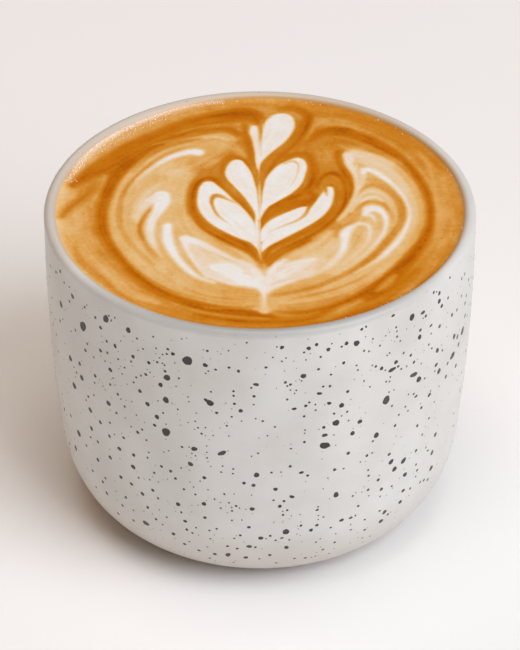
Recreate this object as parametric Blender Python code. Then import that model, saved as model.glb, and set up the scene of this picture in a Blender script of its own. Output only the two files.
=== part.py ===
"""Handleless stoneware cup filled with cappuccino.

Metres, +Z up. The origin is the centre of the foot, on the surface that the cup stands on,
and the drink's leaf figure points to +Y. The cup is one turned wall, and the drink is the
solid that fills it up to just under the lip.
"""

import math

import bmesh
import bpy

# The cup's outside
CUP_HEIGHT = 0.0676
RIM_RADIUS = 0.0425  # outside of the lip, at the height where it begins to turn over
LIP_RADIUS = 0.00125  # the lip is a half round, so the wall is twice this thick there
BELLY_HEIGHT = 0.0548  # where the wall is widest
BARREL_RADIUS = 0.4540  # the wall's long, shallow curve, seen from the side
SHOULDER_HEIGHT = 0.0198  # where the wall turns in towards the foot
SHOULDER_POWER = 2.64  # 2 is an ellipse, and more is squarer
FOOT_RADIUS = 0.0246

# The foot's underside
FOOT_RING_INSIDE = 0.0204
FOOT_BEVEL = 0.0008
RECESS_DEPTH = 0.0011

# The cup's inside
FLOOR_HEIGHT = 0.0055
INNER_FLOOR_RADIUS = 0.0200
INNER_SHOULDER_HEIGHT = 0.0170
INNER_SHOULDER_POWER = 2.4
WALL_GROWTH = 0.0015  # how much thicker the wall is at the floor than at the lip

# The drink
LEVEL_BELOW_RIM = 0.0011
DRINK_GAP = 0.0003  # between the drink's solid and the wall

# Colours are linear red, green and blue
GLAZE_COLOUR = (0.72, 0.69, 0.66)
GLAZE_ROUGHNESS = 0.38
CREMA_COLOUR = (0.66, 0.33, 0.07)
CREMA_ROUGHNESS = 0.42

# How finely the curves are stepped
SEGMENTS = 80  # round the axis
SHOULDER_STEPS = 12
WALL_STEPS = 5
LIP_STEPS = 8
INNER_WALL_STEPS = 4
INNER_SHOULDER_STEPS = 9
SHARP_ANGLE = math.radians(40)
MERGE_DISTANCE = 1e-6

LIP_CENTRE_HEIGHT = CUP_HEIGHT - LIP_RADIUS
BELLY_RADIUS = RIM_RADIUS + (LIP_CENTRE_HEIGHT - BELLY_HEIGHT) ** 2 / (2 * BARREL_RADIUS)
DRINK_LEVEL = CUP_HEIGHT - LEVEL_BELOW_RIM


def barrel_radius(height):
    """Outer radius of the wall's long curve."""
    return BELLY_RADIUS - (height - BELLY_HEIGHT) ** 2 / (2 * BARREL_RADIUS)


def inner_barrel_radius(height):
    """Inner radius of the wall above its inner shoulder."""
    depth = (LIP_CENTRE_HEIGHT - height) / (LIP_CENTRE_HEIGHT - FLOOR_HEIGHT)
    return barrel_radius(height) - 2 * LIP_RADIUS - WALL_GROWTH * depth


def shoulder_curve(flat_radius, base, rise, power, radius_at, steps):
    """Points from the flat at the bottom, round the shoulder, to where the wall begins.

    radius_at gives the wall's radius at a height, so the shoulder runs smoothly into the wall.
    """
    points = []
    for step in range(steps + 1):
        height = base + rise * (1 - math.cos(math.pi / 2 * step / steps))
        down = (base + rise - height) / rise
        share = max(0.0, 1 - down**power) ** (1 / power)
        points.append((flat_radius + (radius_at(height) - flat_radius) * share, height))
    return points


def wall_curve(radius_at, low, high, steps):
    """Points up the wall, without its two ends."""
    heights = [low + (high - low) * step / steps for step in range(1, steps)]
    return [(radius_at(height), height) for height in heights]


def outer_shoulder():
    return shoulder_curve(
        FOOT_RADIUS, 0.0, SHOULDER_HEIGHT, SHOULDER_POWER, barrel_radius, SHOULDER_STEPS
    )


def inner_shoulder(shrink):
    """The inside of the shoulder, moved in from the wall and up from the floor by shrink."""
    return shoulder_curve(
        INNER_FLOOR_RADIUS - shrink,
        FLOOR_HEIGHT + shrink,
        INNER_SHOULDER_HEIGHT,
        INNER_SHOULDER_POWER,
        lambda height: inner_barrel_radius(height) - shrink,
        INNER_SHOULDER_STEPS,
    )


def lip_curve():
    """The half round over the top of the wall, from its outside to its inside."""
    centre = RIM_RADIUS - LIP_RADIUS
    angles = [math.pi * step / LIP_STEPS for step in range(LIP_STEPS + 1)]
    return [
        (centre + LIP_RADIUS * math.cos(a), LIP_CENTRE_HEIGHT + LIP_RADIUS * math.sin(a))
        for a in angles
    ]


def foot_curve():
    """The underside, from its centre out to the flat ring that the cup stands on."""
    return [
        (0.0, RECESS_DEPTH),
        (FOOT_RING_INSIDE - 2 * FOOT_BEVEL, RECESS_DEPTH),
        (FOOT_RING_INSIDE - FOOT_BEVEL / 2, RECESS_DEPTH / 2),
        (FOOT_RING_INSIDE, 0.0),
    ]


def cup_profile():
    """Half of the cup's section, from the underside's centre round to the inside's centre."""
    inside = inner_shoulder(0.0)
    shoulder_top = inside[-1][1]
    inner_wall = wall_curve(
        inner_barrel_radius, shoulder_top, LIP_CENTRE_HEIGHT, INNER_WALL_STEPS
    )
    return (
        foot_curve()
        + outer_shoulder()
        + wall_curve(barrel_radius, SHOULDER_HEIGHT, LIP_CENTRE_HEIGHT, WALL_STEPS)
        + lip_curve()
        + inner_wall[::-1]
        + inside[::-1]
        + [(0.0, FLOOR_HEIGHT)]
    )


def drink_profile():
    """Half of the drink's section, from its underside's centre to the middle of its surface."""
    shoulder = inner_shoulder(DRINK_GAP)
    shoulder_top = shoulder[-1][1]

    def radius_at(height):
        return inner_barrel_radius(height) - DRINK_GAP

    return (
        [(0.0, FLOOR_HEIGHT + DRINK_GAP)]
        + shoulder
        + wall_curve(radius_at, shoulder_top, DRINK_LEVEL, INNER_WALL_STEPS)
        + [(radius_at(DRINK_LEVEL), DRINK_LEVEL), (0.0, DRINK_LEVEL)]
    )


def finish(name, colour, roughness):
    """A material with the sub-part's colour and gloss."""
    material = bpy.data.materials.new(name)
    material.use_nodes = True
    shader = material.node_tree.nodes["Principled BSDF"]
    shader.inputs["Base Color"].default_value = (*colour, 1.0)
    shader.inputs["Roughness"].default_value = roughness
    shader.inputs["Metallic"].default_value = 0.0
    material.diffuse_color = (*colour, 1.0)
    return material


def turned(name, profile, material):
    """An object made by spinning a half section round the Z axis."""
    shape = bmesh.new()
    points = [shape.verts.new((radius, 0.0, height)) for radius, height in profile]
    edges = [shape.edges.new(pair) for pair in zip(points, points[1:])]
    bmesh.ops.spin(
        shape,
        geom=points + edges,
        cent=(0, 0, 0),
        axis=(0, 0, 1),
        angle=2 * math.pi,
        steps=SEGMENTS,
        use_merge=True,
    )
    bmesh.ops.remove_doubles(shape, verts=shape.verts, dist=MERGE_DISTANCE)
    bmesh.ops.recalc_face_normals(shape, faces=shape.faces)
    mesh = bpy.data.meshes.new(name)
    shape.to_mesh(mesh)
    shape.free()
    mesh.shade_smooth()
    mesh.set_sharp_from_angle(angle=SHARP_ANGLE)
    mesh.materials.append(material)
    made = bpy.data.objects.new(name, mesh)
    bpy.context.scene.collection.objects.link(made)
    return made


def clear_scene():
    """Removes whatever the file holds when the script starts."""
    for old in list(bpy.data.objects):
        bpy.data.objects.remove(old)


def main():
    clear_scene()
    glaze = finish("speckled_white_glaze", GLAZE_COLOUR, GLAZE_ROUGHNESS)
    crema = finish("crema_and_milk", CREMA_COLOUR, CREMA_ROUGHNESS)
    turned("cup", cup_profile(), glaze)
    turned("cappuccino", drink_profile(), crema)


main()
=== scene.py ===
"""A handleless speckled stoneware cup of cappuccino: its looks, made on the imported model.

Metres, +Z up. The cup stands on its foot at the origin, and the poured leaf points to +Y.
"""

import math
import random

import bmesh
import bpy
import numpy as np
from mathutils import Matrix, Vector, noise


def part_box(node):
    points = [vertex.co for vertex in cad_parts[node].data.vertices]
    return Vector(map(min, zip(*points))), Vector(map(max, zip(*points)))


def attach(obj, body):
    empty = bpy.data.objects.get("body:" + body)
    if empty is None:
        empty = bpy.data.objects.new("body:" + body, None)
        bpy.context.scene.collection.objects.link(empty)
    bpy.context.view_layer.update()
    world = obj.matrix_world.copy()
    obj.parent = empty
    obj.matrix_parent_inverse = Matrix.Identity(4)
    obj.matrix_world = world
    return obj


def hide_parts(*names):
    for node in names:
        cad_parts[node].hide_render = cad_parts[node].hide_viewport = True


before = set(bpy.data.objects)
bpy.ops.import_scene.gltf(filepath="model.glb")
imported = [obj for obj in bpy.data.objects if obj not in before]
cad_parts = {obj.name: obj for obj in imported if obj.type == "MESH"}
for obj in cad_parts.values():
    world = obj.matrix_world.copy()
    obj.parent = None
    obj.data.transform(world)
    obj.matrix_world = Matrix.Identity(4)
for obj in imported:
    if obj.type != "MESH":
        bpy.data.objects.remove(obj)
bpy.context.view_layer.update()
CUP_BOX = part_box("cup")
DRINK_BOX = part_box("cappuccino")

bl_info = {
    "name": "Cup of cappuccino",
    "version": (1, 0, 0),
    "blender": (4, 5, 0),
    "location": "View3D > Sidebar > Cappuccino",
    "description": "A handleless speckled stoneware cup, filled with a cappuccino and its poured leaf",
    "category": "Add Mesh",
}

MM = 0.001
BODY = "root"


def linear(code):
    """An sRGB hex colour as linear red, green and blue."""
    parts = [int(code[i:i + 2], 16) / 255 for i in (0, 2, 4)]
    return tuple(c / 12.92 if c <= 0.04045 else ((c + 0.055) / 1.055) ** 2.4 for c in parts)


def colour_property(name, description, code):
    return bpy.props.FloatVectorProperty(
        name=name, description=description, default=linear(code),
        subtype="COLOR", size=3, min=0.0, max=1.0)


def length_property(name, description, default):
    return bpy.props.FloatProperty(
        name=name, description=description, default=default,
        unit="LENGTH", subtype="DISTANCE", precision=5, min=0.0)


def count_property(name, description, default):
    return bpy.props.IntProperty(name=name, description=description, default=default, min=0)


class CupSettings(bpy.types.PropertyGroup):
    """Sizes and colours of the turned stoneware cup."""
    height: length_property("Height", "From the foot to the top of the lip", CUP_BOX[1].z)
    rim_radius: length_property("Rim radius", "Outside of the lip where it begins to turn over", 0.0425)
    lip_radius: length_property("Lip radius", "The lip is a half round of this radius", 0.00125)
    foot_radius: length_property("Foot radius", "Outside of the ring that the cup stands on", 0.0246)
    glaze: colour_property("Glaze", "White satin glaze", "E6E5E1")
    glaze_shade: colour_property("Glaze shade", "Where the glaze lies thinner", "DAD8D2")
    # painted shade: the wall is made darker and warmer towards the foot
    low: colour_property("Low on the wall", "Where the glaze thins over warm clay", "CDBFB0")
    # partly the glaze running thin over the lip, partly a painted shade that is strongest at the front
    lip: colour_property("Front of the lip", "Where the glaze runs thin over the lip", "AEAEAA")
    # painted warm shade on the lip at the back left
    lip_back_shade: colour_property("Back of the lip", "Where the glaze is warm and thin over the lip", "D3CABF")
    # painted brown shade where the drink meets the inside of the lip
    drink_edge_shade: colour_property("Crema film", "Where crema has wetted the inside of the lip", "CFAC78")
    faint: colour_property("Faint specks", "Specks sunk under the glaze", "A8A19A")
    clay: colour_property("Bare clay", "The unglazed ring under the foot", "C2AE96")
    clay_dark: colour_property("Dark clay", "Darker grains of the bare clay", "9C8468")


class SpeckSettings(bpy.types.PropertyGroup):
    """The iron specks on the glaze."""
    iron: colour_property("Iron", "The middle of a speck", "35302D")
    rust: colour_property("Speck edge", "The edge of a speck, where iron bleeds into the glaze", "4F4741")
    veiled: colour_property("Veiled speck", "A speck that the glaze covers", "8E8882")
    bold_count: count_property("Bold specks", "How many are scattered round the sides and back", 500)
    fine_count: count_property("Fine specks", "How many fine ones are scattered everywhere", 900)
    seed: count_property("Seed", "Picks another scatter", 11)
    thickness: length_property("Thickness", "How far a speck's middle stands on the glaze", 0.00003)


class DrinkSettings(bpy.types.PropertyGroup):
    """Level and colours of the drink."""
    level: length_property("Level", "Height of the drink's surface", DRINK_BOX[1].z)
    meniscus: length_property("Meniscus", "How far the drink climbs the wall", 0.00035)
    crema_dark: colour_property("Darkest crema", "Crema where the pour pushed it together", "B25C00")
    crema: colour_property("Crema", "Crema on its own", "C66F03")
    amber: colour_property("Amber crema", "Crema with a little foam", "CC7C10")
    honey: colour_property("Honey foam", "Crema with a little milk", "D69031")
    tan: colour_property("Tan foam", "Crema with milk drawn through it", "E4AC5C")
    biscuit: colour_property("Biscuit foam", "About half crema and half milk", "EBC486")
    cream: colour_property("Cream foam", "Milk with some crema", "EED3AB")
    pale_cream: colour_property("Pale cream foam", "Milk with a little crema", "F1E2CF")
    milk: colour_property("Milk foam", "Milk foam on its own", "F3F4F2")
    pit: colour_property("Pits", "The bottom of a burst bubble", "7A3D0C")
    # real froth, paled further by a painted highlight of the lit meniscus at the wall
    froth: colour_property("Froth", "The pale edge where large bubbles gather", "FBEEDC")
    bubble_count: count_property("Bubbles", "How many stand in the froth and along the wall", 520)
    seed: count_property("Seed", "Picks other bubbles", 7)


class StageSettings(bpy.types.PropertyGroup):
    """Camera, floor and lights."""
    distance: length_property("Camera distance", "From the camera to the point it looks at", 0.5667)
    aim_height: length_property("Aim height", "Height of the point that the camera looks at", 0.0379)
    elevation: bpy.props.FloatProperty(
        name="Camera elevation", description="Above the horizon", default=math.radians(36.77),
        subtype="ANGLE", unit="ROTATION")
    lens: bpy.props.FloatProperty(
        name="Lens", description="Focal length on a 36 mm sensor", default=154.75, unit="CAMERA")
    floor: colour_property("Floor", "Pale matt floor", "FAF9F8")
    world: colour_property("Room", "The room's own light", "FFDCBC")
    key: colour_property("Key light", "The large soft light at the right", "EEF4FF")
    overhead: colour_property("Overhead light", "The broad light above", "FFFDF8")
    fill: colour_property("Fill light", "The weak warm light from behind at the left", "FFC196")


class CappuccinoSettings(bpy.types.PropertyGroup):
    """All that a user would change."""
    cup: bpy.props.PointerProperty(type=CupSettings)
    specks: bpy.props.PointerProperty(type=SpeckSettings)
    drink: bpy.props.PointerProperty(type=DrinkSettings)
    stage: bpy.props.PointerProperty(type=StageSettings)


# ---------------------------------------------------------------- nodes and pieces


TINY = 1e-6  # as good as nothing
MIX_FACTOR, MIX_A, MIX_B = 0, 6, 7  # a colour Mix node's inputs


def fill(node, inputs):
    """Fills a node's inputs: with values, colours, other nodes, or one socket of another node."""
    for name, value in inputs.items():
        socket = node.inputs[name]
        if isinstance(value, bpy.types.Node):
            value = next(output for output in value.outputs if output.enabled)
        if isinstance(value, bpy.types.NodeSocket):
            node.id_data.links.new(value, socket)
        elif socket.type == "RGBA":
            socket.default_value = (*value, 1.0)
        else:
            socket.default_value = value


def add(tree, kind, inputs=None, **settings):
    """Adds a node, sets it up and fills its inputs."""
    made = tree.nodes.new(kind)
    for name, value in settings.items():
        setattr(made, name, value)
    fill(made, inputs or {})
    return made


def new_material(name):
    """An empty Principled material, its tree and its shader."""
    material = bpy.data.materials.new(name)
    material.use_nodes = True
    tree = material.node_tree
    return material, tree, tree.nodes["Principled BSDF"]


def as_mesh(name, shape):
    """Turns a bmesh into a mesh and lets the bmesh go."""
    mesh = bpy.data.meshes.new(name)
    shape.to_mesh(mesh)
    shape.free()
    return mesh


def keep(name, shape, materials, node=None, smooth_angle=40):
    """Makes a bmesh a finished piece on the cup's body."""
    mesh = as_mesh(name, shape)
    mesh.shade_smooth()
    mesh.set_sharp_from_angle(angle=math.radians(smooth_angle))
    for material in materials:
        mesh.materials.append(material)
    piece = bpy.data.objects.new(name, mesh)
    bpy.context.scene.collection.objects.link(piece)
    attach(piece, BODY)
    if node:
        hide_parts(node)
    return piece


def move_points(piece, places):
    piece.data.vertices.foreach_set("co", np.asarray(places, np.float32).ravel())
    piece.data.update()


def store(piece, name, values):
    """Gives each point of a piece a number that its material reads."""
    layer = piece.data.attributes.new(name, "FLOAT", "POINT")
    layer.data.foreach_set("value", np.asarray(values, np.float32))


def ball_template(sides, rings):
    """A ball of radius 1: a mesh that is copied, and its points."""
    shape = bmesh.new()
    bmesh.ops.create_uvsphere(shape, u_segments=sides, v_segments=rings, radius=1.0)
    mesh = as_mesh("ball_template", shape)
    return mesh, np.array([vert.co for vert in mesh.vertices], np.float64)


def spun(profile, segments):
    """A bmesh turned round the Z axis from half of its section."""
    shape = bmesh.new()
    points = [shape.verts.new((radius, 0.0, height)) for radius, height in profile]
    edges = [shape.edges.new(pair) for pair in zip(points, points[1:])]
    bmesh.ops.spin(
        shape, geom=points + edges, cent=(0, 0, 0), axis=(0, 0, 1), angle=2 * math.pi,
        steps=segments, use_merge=True)
    poles = [vert for vert in shape.verts if vert.co.xy.length < TINY]
    bmesh.ops.remove_doubles(shape, verts=poles, dist=TINY)
    bmesh.ops.recalc_face_normals(shape, faces=shape.faces)
    return shape


# ---------------------------------------------------------------- the cup's section


BELLY_HEIGHT = 0.0548  # where the wall is widest
BARREL_RADIUS = 0.4540  # the wall's long, shallow curve, seen from the side
SHOULDER_HEIGHT = 0.0198  # where the wall turns in towards the foot
SHOULDER_POWER = 2.64  # 2 is an ellipse, and more is squarer
FOOT_RING_INSIDE = 0.0204
FOOT_BEVEL = 0.0008
RECESS_DEPTH = 0.0011
FLOOR_HEIGHT = 0.0055
INNER_FLOOR_RADIUS = 0.0200
INNER_SHOULDER_HEIGHT = 0.0170
INNER_SHOULDER_POWER = 2.4
WALL_GROWTH = 0.0015  # how much thicker the wall is at the floor than at the lip


class Section:
    """The cup's half section, worked out from its settings."""

    def __init__(self, settings):
        self.rim = settings.rim_radius
        self.lip = settings.lip_radius
        self.foot = settings.foot_radius
        self.lip_centre = settings.height - settings.lip_radius
        self.belly = self.rim + (self.lip_centre - BELLY_HEIGHT) ** 2 / (2 * BARREL_RADIUS)

    def outer_radius(self, height):
        return self.belly - (height - BELLY_HEIGHT) ** 2 / (2 * BARREL_RADIUS)

    def inner_radius(self, height):
        depth = (self.lip_centre - height) / (self.lip_centre - FLOOR_HEIGHT)
        return self.outer_radius(height) - 2 * self.lip - WALL_GROWTH * depth

    def shoulder(self, flat_radius, base, rise, power, radius_at, steps):
        """From the flat at the bottom, round the shoulder, to where the wall begins."""
        points = []
        for step in range(steps + 1):
            height = base + rise * (1 - math.cos(math.pi / 2 * step / steps))
            down = (base + rise - height) / rise
            share = max(0.0, 1 - down**power) ** (1 / power)
            points.append((flat_radius + (radius_at(height) - flat_radius) * share, height))
        return points

    def outside(self, shoulder_steps=40, wall_steps=40):
        """From the foot's edge up to the lip."""
        curve = self.shoulder(
            self.foot, 0.0, SHOULDER_HEIGHT, SHOULDER_POWER, self.outer_radius, shoulder_steps)
        wall = np.linspace(SHOULDER_HEIGHT, self.lip_centre, wall_steps + 1)[1:]
        return curve + [(self.outer_radius(z), z) for z in wall]

    def over_lip(self, steps=24):
        """The half round over the top of the wall, without its two ends."""
        centre = self.rim - self.lip
        angles = [math.pi * step / steps for step in range(1, steps)]
        return [(centre + self.lip * math.cos(a), self.lip_centre + self.lip * math.sin(a)) for a in angles]

    def inside(self, shrink, top, wall_steps=16, shoulder_steps=20):
        """From the inside's floor up to top, moved in from the wall by shrink."""
        curve = self.shoulder(
            INNER_FLOOR_RADIUS - shrink, FLOOR_HEIGHT + shrink, INNER_SHOULDER_HEIGHT,
            INNER_SHOULDER_POWER, lambda z: self.inner_radius(z) - shrink, shoulder_steps)
        wall = np.linspace(curve[-1][1], top, wall_steps + 1)[1:]
        middle = (0.0, FLOOR_HEIGHT + shrink)
        return [middle] + curve + [(self.inner_radius(z) - shrink, z) for z in wall]

    def underside(self):
        """From the underside's centre out to the flat ring."""
        return [
            (0.0, RECESS_DEPTH),
            (FOOT_RING_INSIDE - 2 * FOOT_BEVEL, RECESS_DEPTH),
            (FOOT_RING_INSIDE - FOOT_BEVEL / 2, RECESS_DEPTH / 2),
            (FOOT_RING_INSIDE, 0.0),
        ]

    def whole(self):
        within = self.inside(0.0, self.lip_centre)
        return self.underside() + self.outside() + self.over_lip() + within[::-1]


# ---------------------------------------------------------------- the cup


CUP_SEGMENTS = 256
THROWN_WAVE = 0.00012  # how far the hand-thrown wall strays inwards
THROWN_WAVE_LENGTH = 0.022
THROWN_EVEN, THROWN_UNEVEN = 0.7, 0.3  # the even and the wavy share of that
LIP_EASE = 0.004  # below the lip, where the straying dies away
CLAY_HEIGHT = 0.0003  # up to here the foot has no glaze
CLAY_OUTSIDE = 0.001  # and so far outside the foot's radius


def thrown_stray(section, place):
    """How far the wall strays inwards at a place: nothing at the foot and the lip."""
    below_lip = section.lip_centre + section.lip - place[2]
    lift = max(0.0, min(1.0, place[2] / SHOULDER_HEIGHT) * min(1.0, below_lip / LIP_EASE))
    wave = noise.noise(Vector(place) / THROWN_WAVE_LENGTH)
    return THROWN_WAVE * lift * (THROWN_EVEN + THROWN_UNEVEN * wave)


def lip_side(tree, place, share, degrees, reach, strengths):
    """A share that changes in strength across the cup, over a reach in mm towards one side of it."""
    angle = math.radians(degrees)
    along = add(tree, "ShaderNodeVectorMath", {
        0: place, 1: (math.cos(angle), math.sin(angle), 0.0)}, operation="DOT_PRODUCT")
    strength = add(tree, "ShaderNodeMapRange", {
        "Value": along, "From Min": reach[0] * MM, "From Max": reach[1] * MM,
        "To Min": strengths[0], "To Max": strengths[1]})
    return add(tree, "ShaderNodeMath", {0: share, 1: strength}, operation="MULTIPLY")


def stoneware_glaze(settings):
    """Satin white glaze, dipped and fired on speckled stoneware.

    Its gloss is soft, it pools in faint clouds, and the finest specks show through it as grey dots.
    """
    material, tree, shader = new_material("satin_white_stoneware_glaze")
    place = add(tree, "ShaderNodeTexCoord").outputs["Object"]
    height = add(tree, "ShaderNodeSeparateXYZ", {0: place}).outputs["Z"]
    clouds = add(tree, "ShaderNodeTexNoise", {"Vector": place, "Scale": 1 / (14 * MM), "Detail": 3.0})
    pooled = add(tree, "ShaderNodeMapRange", {"Value": clouds, "From Min": 0.35, "From Max": 0.7})
    # down at the shoulder a painted shade makes the glaze darker and warmer towards the foot
    low = add(tree, "ShaderNodeMapRange", {
        "Value": height, "From Min": 2 * MM, "From Max": 18 * MM, "To Min": 0.6, "To Max": 0.0})
    # over the lip the glaze runs thin and greyer, and painted shade darkens it most of all at the front
    # and, warm, at the back left
    thin = add(tree, "ShaderNodeMapRange", {
        "Value": height, "From Min": settings.height - 1.5 * MM, "From Max": settings.height - 0.1 * MM})
    # a painted brown shade on the inside of the lip just above the drink, most of all at the back
    flat = add(tree, "ShaderNodeVectorMath", {0: place, 1: (1.0, 1.0, 0.0)}, operation="MULTIPLY")
    radius = add(tree, "ShaderNodeVectorMath", {0: flat}, operation="LENGTH")
    inner_lip = add(tree, "ShaderNodeMapRange", {
        "Value": radius, "From Min": settings.rim_radius - 2.25 * MM,
        "From Max": settings.rim_radius - 1.45 * MM, "To Min": 1.0, "To Max": 0.0})
    above = add(tree, "ShaderNodeMapRange", {
        "Value": height, "From Min": settings.height - 8 * MM, "From Max": settings.height - 6 * MM})
    drink_edge_shade = add(tree, "ShaderNodeMath", {0: inner_lip, 1: above}, operation="MULTIPLY")
    # faint specks: one in each cell of about 1.5 mm, about half of them missing
    wobble = add(tree, "ShaderNodeTexNoise", {"Vector": place, "Scale": 1 / (0.5 * MM), "Detail": 1.0})
    moved = add(tree, "ShaderNodeVectorMath", {
        0: wobble.outputs["Color"], 1: (0.12 * MM,) * 3, 2: place}, operation="MULTIPLY_ADD")
    cells = add(tree, "ShaderNodeTexVoronoi", {"Vector": moved, "Scale": 1 / (1.5 * MM)})
    cell_random = add(tree, "ShaderNodeSeparateColor", {"Color": cells.outputs["Color"]})
    size = add(tree, "ShaderNodeMapRange", {"Value": cell_random, "From Min": 0.45, "To Max": 0.17})
    inside = add(tree, "ShaderNodeMath", {0: size, 1: cells}, operation="SUBTRACT")
    dots = add(tree, "ShaderNodeMapRange", {"Value": inside, "From Max": 0.06, "To Max": 0.75})
    surface = settings.glaze
    for share, colour in (
        (pooled, settings.glaze_shade),
        # painted shade, darker and warmer towards the foot
        (low, settings.low),
        # thin glaze over the lip, deepened by painted shade towards the front
        (lip_side(tree, place, thin, -90, (22, 42), (0.15, 1.0)), settings.lip),
        # painted warm shade over the lip at the back left
        (lip_side(tree, place, thin, 120, (-5, 20), (0.0, 1.0)), settings.lip_back_shade),
        # painted brown shade on the inner lip, at the back right and the front left
        (lip_side(tree, place, drink_edge_shade, 60, (15, 32), (0.3, 0.95)), settings.drink_edge_shade),
        (lip_side(tree, place, drink_edge_shade, -110, (20, 36), (0.0, 0.75)), settings.drink_edge_shade),
        (dots, settings.faint),
    ):
        surface = add(tree, "ShaderNodeMix", {
            MIX_FACTOR: share, MIX_A: surface, MIX_B: colour}, data_type="RGBA")
    gloss = add(tree, "ShaderNodeMapRange", {"Value": clouds, "To Min": 0.42, "To Max": 0.30})
    waves = add(tree, "ShaderNodeTexNoise", {"Vector": place, "Scale": 1 / (7 * MM), "Detail": 1.0})
    pores = add(tree, "ShaderNodeTexNoise", {"Vector": place, "Scale": 1 / (0.7 * MM), "Detail": 2.0})
    both = add(tree, "ShaderNodeMath", {0: pores, 1: 0.06, 2: waves}, operation="MULTIPLY_ADD")
    bump = add(tree, "ShaderNodeBump", {"Height": both, "Strength": 0.35, "Distance": 0.4 * MM})
    fill(shader, {"Base Color": surface, "Roughness": gloss, "IOR": 1.5, "Normal": bump})
    return material


def bare_clay(settings):
    """Stoneware clay wiped clean of glaze, so that the foot doesn't stick in the kiln: matt, sandy."""
    material, tree, shader = new_material("bare_stoneware_clay")
    place = add(tree, "ShaderNodeTexCoord").outputs["Object"]
    sand = add(tree, "ShaderNodeTexNoise", {"Vector": place, "Scale": 1 / (0.5 * MM), "Detail": 4.0})
    tint = add(tree, "ShaderNodeMix", {
        MIX_FACTOR: sand, MIX_A: settings.clay, MIX_B: settings.clay_dark}, data_type="RGBA")
    bump = add(tree, "ShaderNodeBump", {"Height": sand, "Strength": 0.5, "Distance": 0.1 * MM})
    fill(shader, {"Base Color": tint, "Roughness": 0.85, "Normal": bump})
    return material


class CAPPUCCINO_OT_cup(bpy.types.Operator):
    """Turns the stoneware cup, with its rounded lip and the bare ring under its foot"""
    bl_idname = "cappuccino.cup"
    bl_label = "Turn the cup"

    def execute(self, context):
        settings = context.scene.cappuccino.cup
        section = Section(settings)
        shape = spun(section.whole(), CUP_SEGMENTS)
        for vert in shape.verts:
            flat = vert.co.xy.length
            if flat > TINY:
                vert.co.xy *= 1 - thrown_stray(section, vert.co) / flat
        for face in shape.faces:
            middle = face.calc_center_median()
            in_foot = middle.xy.length < settings.foot_radius + CLAY_OUTSIDE
            face.material_index = int(middle.z < CLAY_HEIGHT and in_foot)
        materials = [stoneware_glaze(settings), bare_clay(settings)]
        keep("speckled_cup", shape, materials, "cup")
        return {"FINISHED"}


# ---------------------------------------------------------------- the poured leaf


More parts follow.
